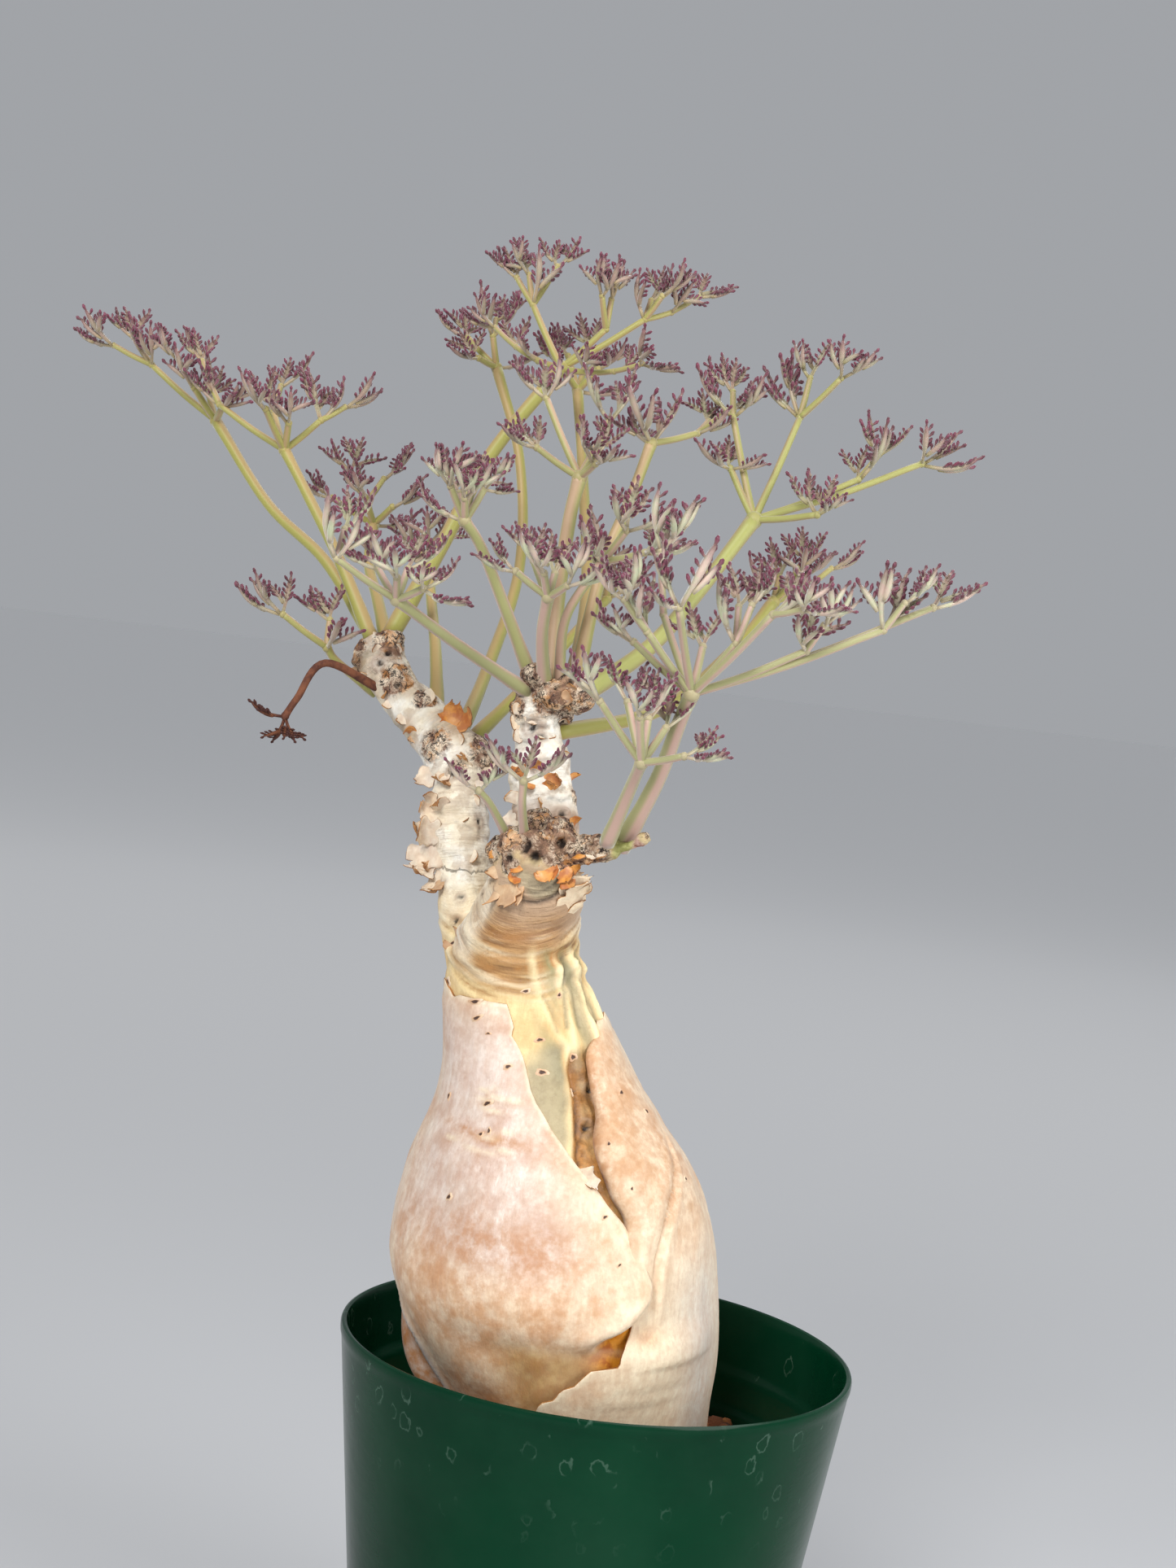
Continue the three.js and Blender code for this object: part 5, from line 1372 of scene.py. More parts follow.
# %% Where the flakes are
# Picture point of the foot, direction in the picture in degrees (0 right, 90 up), length,
# width and curl in degrees.
FLAKES = [
    (541, 1037, 208, 6.8, 6.4, 70), (538, 1052, 226, 6.0, 4.6, 120), (541, 1026, 170, 5.0, 5.0, 120),
    (540, 1004, 150, 4.6, 4.6, 100), (545, 1068, 240, 5.4, 3.8, 80), (532, 1014, 196, 4.6, 3.8, 150),
    (549, 992, 132, 3.4, 3.2, 130), (534, 990, 118, 3.4, 2.6, 110), (516, 932, 192, 4.4, 3.2, 110),
    (503, 914, 165, 4.2, 3.4, 130), (533, 948, 206, 4.4, 3.6, 110), (545, 946, 238, 3.2, 3.0, 140),
    (562, 944, 60, 2.8, 3.6, 120), (592, 942, 350, 3.6, 4.0, 110), (588, 954, 318, 3.0, 3.0, 130),
    (448, 850, 180, 2.4, 2.2, 120), (455, 872, 210, 2.6, 2.6, 110), (450, 834, 160, 2.2, 2.0, 130),
    (485, 800, 30, 1.8, 1.8, 100), (523, 868, 78, 3.4, 2.0, 60), (468, 800, 150, 1.8, 2.0, 110),
    (640, 985, 165, 3.2, 2.6, 110), (634, 1000, 205, 3.6, 2.8, 90), (642, 905, 172, 2.0, 2.4, 120),
    (640, 888, 190, 2.0, 2.6, 110), (688, 890, 18, 2.0, 2.4, 120), (645, 870, 182, 2.6, 2.2, 100),
    (690, 935, 60, 2.0, 1.8, 110), (668, 900, 275, 1.4, 3.6, 50), (655, 880, 265, 1.4, 4.0, 50),
    (722, 1020, 60, 2.0, 2.0, 100),
    (727, 1046, 250, 1.6, 1.8, 90), (742, 1008, 80, 2.2, 1.2, 60), (738, 1046, 280, 1.5, 1.5, 110),
    (714, 1430, 285, 5.4, 3.4, 8), (672, 985, 200, 2.2, 2.0, 120), (580, 985, 40, 1.8, 1.8, 100),
    (565, 1000, 300, 2.0, 2.0, 80), (575, 1050, 330, 1.8, 2.4, 70), (560, 910, 20, 2.0, 2.0, 120),
    (500, 880, 210, 2.2, 2.2, 110), (480, 860, 230, 2.0, 2.0, 110), (706, 1330, 200, 1.6, 2.0, 40),
]
# The same for flakes that show the brown of weathered bark.
BROWN_FLAKES = [
    (622, 1078, 268, 5.0, 4.8, 26), (613, 1082, 256, 4.4, 2.6, 50), (632, 1086, 285, 3.6, 2.6, 34),
    (612, 1066, 210, 2.4, 2.6, 110), (546, 1076, 262, 4.0, 2.4, 60), (540, 1082, 240, 3.0, 1.8, 90),
    (535, 1060, 200, 3.4, 2.6, 150), (552, 950, 250, 3.4, 2.4, 120), (560, 936, 40, 2.6, 2.4, 120),
    (512, 905, 200, 2.2, 2.0, 120), (690, 860, 20, 2.0, 2.4, 90), (700, 850, 60, 1.8, 1.8, 110),
    (720, 1052, 300, 1.8, 1.6, 100), (634, 1030, 130, 2.0, 1.8, 110), (648, 1020, 150, 1.8, 1.8, 120),
    (470, 835, 20, 1.8, 1.8, 110), (470, 850, 330, 1.8, 1.6, 110), (440, 826, 190, 1.8, 1.6, 120),
    (560, 1156, 110, 2.4, 1.4, 70), (553, 1166, 130, 2.0, 1.4, 80),
]
# The same for the sheath of cream skin that stands off the neck.
SHEATH = [
    (690, 1122, 66, 6.6, 5.0, 26), (694, 1108, 50, 5.4, 5.4, 24), (692, 1096, 30, 4.6, 4.4, 26),
    (697, 1128, 74, 4.0, 2.4, 20),
]
# The same for flakes that show the orange of fresh cork.
RUSTY_FLAKES = [
    (512, 905, 140, 3.0, 2.4, 130), (502, 920, 195, 2.8, 2.0, 100), (456, 858, 200, 1.8, 1.8, 120),
    (549, 893, 62, 4.6, 4.4, 70), (556, 898, 50, 5.4, 3.6, 90), (553, 888, 84, 4.0, 3.0, 60),
    (655, 950, 85, 4.2, 3.2, 160), (664, 962, 20, 4.4, 2.8, 130), (648, 955, 130, 2.8, 2.8, 150),
    (668, 972, 60, 3.2, 2.2, 140), (676, 1062, 272, 2.6, 4.0, 60), (688, 1064, 292, 3.2, 3.2, 70),
    (698, 1060, 320, 2.8, 2.6, 100), (690, 1072, 300, 3.4, 3.0, 60), (668, 1062, 280, 3.0, 3.4, 50),
    (645, 945, 200, 2.6, 2.6, 90), (652, 958, 250, 2.6, 2.4, 90), (676, 958, 330, 2.4, 2.4, 90),
    (636, 1068, 250, 2.6, 2.4, 60), (610, 1050, 200, 2.0, 2.0, 110), (632, 1062, 262, 1.8, 2.2, 80),
    (704, 1014, 30, 2.0, 2.0, 110), (702, 960, 10, 2.0, 1.8, 80), (712, 1046, 262, 1.8, 2.0, 90),
]
# Flakes at the back, by x and height; a positive direction still points up.
BACK_FLAKES = [
    (-33, 158, 240, 3.6, 3.2, 110), (-36, 164, 60, 3.0, 3.0, 120), (-38, 171, 110, 3.4, 3.0, 120),
    (-35, 178, 200, 3.0, 2.6, 110), (-42, 184, 80, 2.8, 2.4, 110), (-48, 190, 60, 2.6, 2.4, 120),
    (-54, 195, 100, 2.4, 2.2, 110), (-20, 160, 280, 3.4, 3.0, 100), (-17, 168, 20, 2.8, 2.6, 120),
    (-22, 171, 160, 3.0, 2.6, 120), (-21, 178, 60, 2.8, 2.4, 110), (-25, 185, 120, 2.4, 2.2, 110),
    (-28, 150, 250, 4.4, 3.6, 60), (-16, 149, 290, 4.0, 3.4, 60), (-22, 141, 270, 4.2, 3.8, 40),
]
# How warm, lilac, cream, silver, ochre and olive each kind is.
KINDS = (
    (FLAKES, (0.0, 0.0, 1.3, 1.0, 0.0, 0.25)),
    (BACK_FLAKES, (0.3, 0.0, 1.0, 0.5, 0.0, 0.4)),
    (BROWN_FLAKES, (0.6, 0.0, 0.0, 0.35, 0.1, 0.8)),
    (SHEATH, (0.0, 0.0, 1.4, 0.0, 0.0, 0.15)),
    (RUSTY_FLAKES, (0.6, 0.0, 0.0, 0.0, 1.0, 0.0)),
)
print("places for flakes:", sum(len(kind) for kind, _ in KINDS))

# %% Curl the flakes
FLAKE_ROWS, FLAKE_COLUMNS, FLAKE_THICKNESS, FLAKE_SINK = 14, 12, 0.18, 0.25


def add_flake(clay, place, normal, direction, length, width, curl, tint, seed):
    """A scrap of bark that leaves the skin at place and bends away from it."""
    direction = math.radians(direction)
    picture = PICTURE_RIGHT * math.cos(direction) + PICTURE_UP * math.sin(direction)
    onward = unit(picture - normal * (picture @ normal))
    sideways = np.cross(onward, normal)
    share, across = np.linspace(0, 1, FLAKE_ROWS), np.linspace(-1, 1, FLAKE_COLUMNS)
    angle = np.radians(8 + curl * share**1.5)
    step = length / (FLAKE_ROWS - 1)
    run = np.cumsum(np.cos(angle) * step)[:, None] * onward
    run = run + np.cumsum(np.sin(angle) * step)[:, None] * normal
    breadth = np.interp(share, (0, 0.3, 0.7, 1), (0.7, 1.0, 0.8, 0.3)) * width / 2
    # Torn edges, a cupped middle, a crumple and a ragged tip.
    spot = seed * 7.7
    lengths = share[:, None] * length + 0 * across
    tatter = np.stack([lengths + spot, 5 * np.sign(across) + 0 * lengths, 0 * lengths], -1)
    edges = 1 + 0.45 * ripple(tatter, 1.5, 1) + 0.3 * ripple(tatter, 0.7, 3)
    points = place - normal * FLAKE_SINK + run[:, None]
    points = points + (breadth[:, None] * edges * across)[..., None] * sideways
    cup = 0.5 * (chance(seed + 0.4) - 0.3) * (1 - across**2)[None, :] * share[:, None] * width / 2
    points = points + cup[..., None] * normal
    crumple = 0.34 * ripple(points, 1.9, seed) + 0.16 * ripple(points, 0.9, seed + 1)
    points = points + (crumple * ease(0, 0.4, share)[:, None])[..., None] * normal
    tip = share[:, None] ** 3 * (0.3 * length * ripple_along(across * width + spot, 1.4, 2))
    points = points + tip[..., None] * (points[-1:] - points[-2:-1]) / step
    shade = np.clip(0.5 + 0.5 * ripple(points, 1.6, seed + 2), 0, 1)
    warm, lilac, cream, silver, ochre, olive = tint
    warm = warm * (0.4 + 0.6 * shade) + 0.7 * ease(0.6, 1, share)[:, None] * shade
    add_sheet(
        clay, points, FLAKE_THICKNESS, warm=warm, lilac=lilac * shade, cream=cream * (1 - 0.4 * shade),
        silver=silver * shade, ochre=ochre * (1 - 0.4 * shade), olive=olive * (0.5 + 0.5 * shade),
    )


flakes = 0
for kind, tint in KINDS:
    sides = ((), kind) if kind is BACK_FLAKES else (kind,)
    for place, normal, *bend in found_all(trunk_tree, *sides):
        add_flake(details, place, normal, *bend, tint, flakes)
        flakes += 1
print("flakes that found the stem:", flakes)

# %% [markdown]
# ### Skin, bark and its back
#
# Three finishes cover the trunk. Living skin is waxy and cream, grey-green where the split is fresh, and it
# turns to dark cracked cork on the scars. Its wrinkles and folds are painted darker orange-brown and olive
# in their hollows as shade and paler on their ridges as highlight, its upper neck is painted darker as the
# shade of the knobs, and pits, cracks and the top of the valley are painted near-black as shade. Outer bark
# is satin and papery, peach with lilac and rust clouds, with painted highlight on its edges, chin and curled
# rim, painted shade in its creases and recesses, and a painted glow where it tucks under the other sheet.
# Its back never saw the sun and is a warm orange-brown. The marks choose between the tones, and mottling
# breaks every border so that no mark shows as a clean line.

# %% Finish the living skin
# How much the rings waver across, for each metre. Their level is in millimetres.
RING_WAVER = (110.0, 110.0, 0.0)


def skin_finish():
    paint = Finish("living_skin")
    marks = paint.marks(*trunk.marks)
    clouds, specks, patches, grey, bleached, oranges = paint.mottlings(
        (7.0, 0.35, 1.0), (1.3, 0.7, 2.0), (3.4, 0.9, 7.0), (2.6, 0.9, 17.0), (2.3, 0.8, 5.0),
        (3.0, 0.95, 11.0),
    )
    grain = paint.group("fibres", Size=0.7, Stretch=6.0, Seed=3.0)

    # Rings that follow the wrinkles of the neck and go round the stems.
    own = paint.add("TexCoord").outputs["Object"]
    flat = paint.add("VectorMath", {0: own, 1: RING_WAVER}, operation="MULTIPLY").outputs[0]
    level = paint.add("CombineXYZ", {"Z": marks["level"]}).outputs[0]
    ring_place = paint.add("VectorMath", {0: flat, 1: level}, operation="ADD").outputs[0]
    rings = pressed(paint, noise_of(paint, ring_place, 0.62, 2.0, 2.0), 0.3)
    wide_rings = pressed(paint, noise_of(paint, ring_place, 2.4, 5.0, 2.0), 0.7)

    pale = paint.coats(
        paint.mixed(clouds, (255, 252, 242), (250, 238, 212)),
        (specks, 0.16, (192, 160, 124)),
        (patches, 0.13, (206, 182, 142)),
        (grey, 0.1, (164, 160, 152)),
        (paint.product(wide_rings, patches), 0.34, (150, 112, 82)),
    )
    # The upper neck's lilac-grey is painted darker, as the shade of the knobs above it.
    lilac = paint.mixed(clouds, (200, 171, 148), (172, 142, 118))
    honey = paint.mixed(rings, (186, 141, 88), (140, 96, 52))
    # Hollows of the neck's wrinkles are painted darker orange-brown as shade, and their ridges paler as
    # highlight.
    hollows = paint.product(paint.scaled(marks["line"], -1.7, clamp=True), paint.scaled(rings, 0.6, 0.5))
    ridges = paint.scaled(marks["line"], 1.2, clamp=True)
    wrinkle_shade_tone = paint.mixed(clouds, (178, 124, 66), (128, 96, 64))
    green = paint.mixed(clouds, (166, 152, 122), (144, 134, 106))
    rust = paint.mixed(paint.product(specks, 0.5), (188, 124, 56), (122, 74, 28))
    cork = paint.coats(
        paint.mixed(specks, (178, 142, 116), (120, 88, 72)),
        (bleached, 1, (232, 212, 186)),
        (paint.group("contours", Size=3.0, Lines=13.0, Width=0.22, Seed=2.0), 0.75, (74, 50, 42)),
        (paint.product(oranges, paint.scaled(patches, 1.0, -0.55, clamp=True)), 1, (222, 150, 66)),
        (paint.group("fissures", Size=1.0, Width=0.04, Seed=6.0), 0.5, (84, 60, 48)),
        (paint.group("fissures", Size=2.2, Width=0.05, Seed=4.0), 1, (38, 26, 22)),
    )
    corky = paint.scaled(marks["scar"], 1.5, paint.scaled(specks, 0.5, -0.6), clamp=True)
    tone = paint.coats(
        paint.mixed(clouds, (246, 222, 166), (230, 194, 136)),
        (grain, 0.25, (190, 148, 98)),
        (marks["stem"], 1, pale),
        (marks["neck"], 0.85, paint.coats(lilac, (rings, 0.2, (150, 120, 98)))),
        (marks["golden"], 1, honey),
        (hollows, 1, wrinkle_shade_tone),
        (ridges, 0.52, (255, 242, 208)),
        # Valleys of the folds are painted darker olive as shade, and their ridges pale cream as highlight.
        (marks["fold"], -1.6, (156, 146, 104)),
        (marks["fold"], 0.9, (255, 240, 190)),
        (marks["strip"], 0.85, paint.coats(green, (specks, 0.25, (196, 186, 150)))),
        (marks["amber"], 0.9, rust),
        (corky, 1, cork),
        (marks["rim"], 0.55, (150, 116, 92)),
        # Scar pits, cracks, creases and the top of the valley are painted near-black as shade.
        (marks["hollow"], 1, (40, 28, 20)),
        (marks["stub"], 1, paint.mixed(specks, (186, 184, 120), (150, 150, 84))),
        (paint.product(marks["stub"], marks["rim"]), 1, paint.mixed(specks, (214, 176, 162), (150, 96, 84))),
    )
    fine = paint.group("relief", Size=0.55, Depth=0.16, Seed=1.0)
    ringed = paint.product(rings, paint.scaled(marks["neck"], 1.0, marks["stem"], clamp=True))
    bumps = paint.add("Bump", {"Height": ringed, "Distance": -0.09 * MM, "Normal": fine})
    return paint.done(
        Base_Color=tone, Roughness=paint.scaled(corky, 0.4, 0.46), Normal=bumps.outputs["Normal"],
        Specular_IOR_Level=0.4,
    )

# %% Finish the outer bark and its back
def bark_finish():
    paint = Finish("papery_bark")
    marks = paint.marks(*BARK_MARKS)
    clouds, blots, specks, pale, freckles = paint.mottlings(
        (11.0, 0.35, 6.0), (4.2, 0.5, 2.5), (0.9, 0.7, 1.5), (5.0, 0.6, 9.0), (1.9, 0.6, 19.0),
    )
    stain_and_shade = paint.scaled(freckles, 0.5, paint.scaled(blots, 0.5, 0.2))
    pore_tone = paint.ramp(
        marks["pore"], (0.0, (232, 200, 168)), (0.4, (188, 142, 104)), (0.85, (78, 54, 42)),
    )
    tone = paint.coats(
        paint.mixed(clouds, (242, 218, 188), (230, 190, 154)),
        (blots, 0.75, (218, 170, 126)),
        (pale, 0.65, (252, 236, 206)),
        (marks["lilac"], 0.7, paint.mixed(blots, (234, 222, 216), (206, 184, 176))),
        # warm holds the bark's own brown-orange, and painted shade under scratches, beside the curled edge,
        # on the rolled edge, in the dimple and along the crease.
        (paint.product(marks["warm"], stain_and_shade), 1, (188, 126, 72)),
        # olive is the olive-gold of some flakes, and painted shade in the recess under the chin.
        (marks["olive"], 0.85, paint.mixed(blots, (206, 170, 110), (176, 132, 74))),
        # cream is painted highlight on the edges, the chin and the right sheet's lower front, besides pale
        # scratches and cream flakes.
        (marks["cream"], 0.7, (255, 240, 208)),
        # silver is partly painted highlight, on the lit rim of the curled edge.
        (marks["silver"], 0.6, (206, 206, 206)),
        (paint.group("fibres", Size=1.0, Stretch=9.0, Seed=8.0), 0.2, (184, 136, 100)),
        (freckles, 0.14, (196, 138, 92)),
        (specks, 0.12, (170, 120, 88)),
        # ochre is the orange of fresh cork, a painted glow on the bark tucked under the right sheet, and
        # painted shade in the dimple.
        (marks["ochre"], 1, paint.mixed(freckles, (220, 144, 38), (180, 94, 12))),
        (marks["pore"], 1.6, pore_tone),
    )
    return paint.done(
        Base_Color=tone, Roughness=paint.scaled(blots, 0.14, 0.4),
        Normal=paint.group("relief", Size=0.8, Depth=0.14, Stretch=3.0, Seed=3.0),
        Specular_IOR_Level=0.45, Sheen_Weight=0.08,
    )


def bark_back_finish():
    paint = Finish("bark_back")
    clouds = paint.group("mottling", Size=3.0, Sharpness=0.5, Seed=12.0)
    grain = paint.group("fibres", Size=0.6, Stretch=5.0, Seed=2.0)
    tone = paint.coats(paint.mixed(clouds, (204, 148, 88), (148, 96, 54)), (grain, 0.35, (120, 70, 34)))
    fine = paint.group("relief", Size=0.6, Depth=0.15, Seed=6.0)
    return paint.done(Base_Color=tone, Roughness=0.6, Normal=fine)


bark, bark_back = bark_finish(), bark_back_finish()
put_up("trunk_skin", trunk.mesh("trunk_skin"), [skin_finish()], "caudex", "caudex_and_stems")
for name, clay in (("bark_left", bark_left), ("bark_right", bark_right), ("bark_details", details)):
    put_up(name, clay.mesh(name), [bark, bark_back], "caudex", "caudex_and_stems")

# %% [markdown]
# ## The leaves
#
# Each leaf is a fleshy stalk with a shallow groove, a hub where its arms fan out, and
# leaflets on the arms. A leaflet is a folded trough of thick tissue: slender like a stalk
# in its lower half, then lobed, with club-shaped teeth along both margins. A flat plane
# with a cut-out picture would vanish seen from its edge, and these leaflets are seen from
# all sides. So a few leaflets are modelled in full as patterns, and each leaf is planned
# as a tree of joints and bends a pattern to every leaflet's place.

# %% The measured leaves
def fork(knee, *tips):
    """An arm that ends in a joint with arms of its own."""
    return {"knee": knee, "tips": tips}


def measured(name, stalk, *arms, radius=None, lime=0.0, dried=False):
    """What is known of a leaf: places along its stalk, its arms, and a radius if it is unusual."""
    return {"name": name, "stalk": stalk, "arms": arms, "radius": radius, "lime": lime, "dried": dried}


LEAVES = [
    measured(
        "leaf_left_far", [(-57.6, 26.6, 200.6), (-68, 32, 212.9), (-81, 38, 222.5), (-94, 44, 237.6)],
        fork((-108, 46, 247), (-124, 50, 253), (-118, 51, 258), (-112, 46, 257), (-107, 41, 255)),
        fork((-98, 40, 243), (-105, 34, 254), (-101, 35, 251)), (-102, 56, 256), (-89, 31, 243),
    ),
    measured(
        "leaf_left_near", [(-57.2, 22, 200.8), (-64.4, 26, 213), (-72.4, 30, 224.6), (-78, 32, 232.6)],
        fork((-92, 36, 240), (-101, 42, 255), (-94, 37, 251), (-98, 38, 247)), (-84, 20, 245),
        fork((-82, 38, 240), (-82, 48, 252), (-85, 41, 249)), (-76, 23, 244),
        fork((-72, 33, 239), (-63, 41, 247), (-75, 38, 250), (-69, 35, 248)),
    ),
    measured(
        "leaf_left_inner", [(-54.6, 27.4, 200.4), (-58, 35, 207.4), (-61.4, 43, 214), (-62, 48, 221.6)],
        (-77, 41, 229), fork((-64, 50, 226), (-73, 56, 238), (-67, 52, 235), (-58, 55, 238)),
        (-65, 37, 232), (-53, 43, 231), (-54, 56, 226),
    ),
    measured(
        "leaf_top", [(-52.8, 23.4, 201.6), (-46, 29, 219), (-39.6, 32, 236), (-28.5, 35, 254)],
        fork((-35.4, 38, 265.6), (-44, 43, 277), (-39, 44, 279), (-35, 37, 277), (-29, 46, 281)),
        fork((-21, 34, 262), (-24, 27, 275), (-20, 33, 276)),
        fork((-14, 34, 264.6), (2, 42, 275), (-7, 30, 276), (-12, 40, 276), (-16, 33, 274)),
        (-6, 21, 256), (-49, 50, 265), radius=1.6,
    ),
    measured(
        "leaf_left_low", [(-55.6, 22.4, 190.2), (-61.9, 19.4, 194.6), (-63.8, 18, 197)],
        fork((-72, 15, 202), (-81, 14, 207), (-77, 12, 210), (-72, 17, 210)),
        fork((-64, 19, 202), (-70, 25, 208), (-65, 24, 209)), (-61, 10, 204), radius=0.95,
    ),
    measured(
        "leaf_left_dried",
        [(-53.6, 18.6, 190.6), (-62.9, 12, 194.2), (-66.9, 10, 187.4), (-68.7, 10, 184)],
        (-75.5, 8, 186.5), (-71.5, 12, 179), (-65, 7, 180), radius=0.8, dried=True,
    ),
    measured(
        "leaf_centre_left", [(-26.4, 1.2, 194), (-37.9, -8, 200.3), (-48.3, -14, 206.5)],
        fork((-58.2, -20, 212), (-61, -23, 224), (-57, -15, 225), (-55, -23, 220)),
        fork((-52.6, -9, 211.4), (-55.4, -5, 220), (-60, -7, 216)), (-48, -24, 216),
        fork((-47.6, -9, 212), (-42, -6, 219.6), (-47, -3, 220)),
        fork((-43.6, -18, 208.8), (-34.6, -22, 208), (-44, -23, 213.4), (-38.6, -15, 215)),
    ),
    measured(
        "leaf_centre_upper",
        [(-25.6, 5, 196.2), (-31, 2.6, 207), (-36.4, 0, 217.4), (-39.6, -2, 221.6)], (-46, -8, 234),
        (-44, 6, 233), (-40, -10, 232), (-39, 5, 235),
        fork((-37, 0, 227.6), (-32, 5, 229.6), (-34, -5, 234)), (-49, -1, 228),
    ),
    measured(
        "leaf_centre_front", [(-22.8, 0.4, 195.4), (-23.7, -7, 203.6), (-23.2, -12, 210)],
        fork((-29, -14, 213.6), (-36, -18, 216.6), (-33, -13, 220)),
        fork((-26.5, -9, 215.8), (-30, -6, 223), (-26, -4, 223)), (-25.6, -21, 220), (-21.6, -6, 221.6),
        fork((-20, -15, 212.2), (-14, -20, 217), (-18.6, -19, 220.6)),
    ),
    measured(
        "leaf_centre_small", [(-20.2, 1.6, 196), (-20.4, 0, 207), (-15.3, -1, 217.4)], (-19, -8, 225),
        (-16.4, 5, 228), fork((-11.6, -5, 223), (-14.6, -11, 230), (-11.6, -3, 233), (-4, -9, 229)),
        fork((-8, -6, 219.6), (-4.5, -15, 225), (0.3, -8, 223), (-5, -2, 227.6)), radius=1,
    ),
    measured(
        "leaf_centre_tall", [(-22, 5, 196), (-22.6, 8, 210), (-22.2, 8, 224.4), (-21.3, 8, 232)],
        fork((-29.4, 8, 236.4), (-37, 4, 240.4), (-34, 11, 243), (-29.6, 15, 243)),
        fork((-29, 12, 245.6), (-35.4, 13, 253.4), (-31, 19, 254), (-27, 10, 253.6)),
        fork((-18.6, 6, 236), (-20.8, 0, 241), (-17, 8, 245)),
        fork((-17.4, 12, 243), (-22, 10, 253), (-14, 15, 254.4)), (-14.4, -2, 238.4), radius=1.5,
    ),
    measured(
        "leaf_centre_right", [(-17.6, 4.6, 196), (-15.5, 10, 216.6), (-12, 13, 230), (-9.6, 14, 240)],
        (-13, 8, 251), (-7, 17, 251),
        fork((-1.6, 20, 243.4), (8.4, 27, 254), (3, 30, 251), (4, 16, 249)), (-15, 22, 247),
    ),
    measured(
        "leaf_right_high", [(-14.6, 2.6, 195.4), (-5.4, 6, 203.8), (2.2, 10, 215), (10.2, 14, 228.6)],
        fork((5, 16, 237.4), (-1.6, 10, 242), (3.4, 20, 244), (10.6, 12, 241)),
        fork((4.4, 19.6, 247), (-2, 22, 258), (3, 27, 259), (9, 18, 256)),
        fork((16.4, 21, 248.4), (10.6, 26, 258), (14.6, 22, 261), (18.6, 26, 264), (28, 15, 262)),
        fork((21, 8, 230.4), (25, 5, 235.4), (17.6, 12, 239.4), (23.6, 12, 239)),
        fork((28, 18, 238.2), (27.6, 21, 245), (31.6, 17, 250), (35.6, 23, 250)),
        fork((39, 18.4, 242.4), (50, 17, 244.6), (39, 13, 250), (44.6, 21, 250.4)), radius=1.7,
        lime=1.0,
    ),
    measured(
        "leaf_right_back", [(-19.6, 6.8, 187), (-2.5, 22, 192.8), (9.7, 34, 205.3), (16.4, 40, 215.5)],
        (18, 44, 228.4), (25, 47, 231), (33, 50, 228), (26, 37, 227), (12, 36, 224.6), radius=1.4,
    ),
    measured(
        "leaf_front_right",
        [(-5.6, -16.8, 170.6), (-1.2, -21, 182), (1.2, -27, 191.8), (2.6, -31, 196.8)],
        fork((-5.6, -37, 205.8), (-15, -43, 216), (-14, -37, 218), (-9.2, -40, 216), (-7, -33, 216)),
        fork((-1, -41, 210), (-6.8, -46, 212.6), (-4, -40, 222), (1.4, -45, 222)),
        fork((-7.6, -31, 204), (-14.4, -29, 210.4), (-11, -34, 210)),
        fork((8.6, -37, 205.6), (5.2, -38, 217), (12.6, -36, 220), (8, -30, 219)),
        fork((13.6, -42, 210.6), (19.4, -47, 218), (24.6, -50, 213.6), (18, -38, 220)),
        fork((20, -30, 205.8), (17.4, -35, 212), (20.4, -26, 216), (26, -33, 217.6)),
        fork((32, -28, 210.6), (30.4, -31, 222), (34.6, -25, 222), (39, -30, 222.6)),
        fork((39.6, -26, 215.2), (47, -24, 221), (42, -20, 223)),
        fork((-3.4, -28, 209), fork((-5, -30, 219), (-6, -31, 230), (-1.5, -33, 229), (-1, -23, 229))),
        (4.4, -21, 211.6), radius=1.5,
    ),
    measured(
        "leaf_front_low", [(-8, -20.4, 171.4), (-5.4, -28, 180.3), (-4, -34, 185)],
        fork((-11.6, -38, 194), (-17, -37, 202), (-14.4, -42, 203)), (-10.2, -29, 202), (-6, -45, 199),
        (-3.4, -33, 200.6), (3, -29, 198), fork((2.6, -38, 187), (9.6, -42, 189.4), (6.8, -35, 192.6)),
    ),
    measured(
        "leaf_young_tall", [(-22.4, -12.6, 169.6), (-23, -18.6, 175), (-23.1, -21, 179.2)],
        (-29, -25, 187), (-16, -23, 187), (-22.6, -15, 187), radius=0.85,
    ),
    measured(
        "leaf_young_low", [(-25.6, -12, 169.6), (-28.4, -17, 174.4), (-30.4, -19, 176.6)],
        (-35.6, -22, 182), (-27.6, -21, 182.6), radius=0.8,
    ),
    measured(
        "leaf_joint_right",
        [(-35.4, 14, 183.6), (-28.2, 24, 193.2), (-20.8, 32, 203.9), (-15.1, 38, 212.4)],
        (-20.6, 46, 224.6), (-10, 48, 222), (-15, 30, 225), (-7, 36, 222),
    ),
    measured(
        "leaf_joint_left", [(-42.6, 18.6, 188), (-45.1, 28, 198.7), (-48, 38, 207.8), (-49.6, 42, 214)],
        (-56.6, 48, 223.6), (-46.6, 51, 226.6), (-50, 34, 226),
    ),
    measured(
        "leaf_back_high",
        [(-38, 18.4, 184), (-35.5, 34, 197), (-33, 50, 216.6), (-36, 58, 238), (-43, 62, 256)],
        (-56, 65, 266.6), fork((-44.4, 61, 262), (-47, 58, 272.6), (-40.6, 64, 273), (-44.6, 70, 272)),
        (-52, 52, 258.6), (-35.6, 68, 262),
    ),
    measured(
        "leaf_back_centre", [(-18.8, 6.4, 192.6), (-18.4, 26, 212), (-22.6, 42, 236), (-25.8, 50, 252)],
        (-31.6, 56, 266), (-24, 60, 268.6), (-17, 46, 262.6), (-33, 42, 260.6), (-15, 56, 256),
    ),
]
print("leaves:", len(LEAVES))

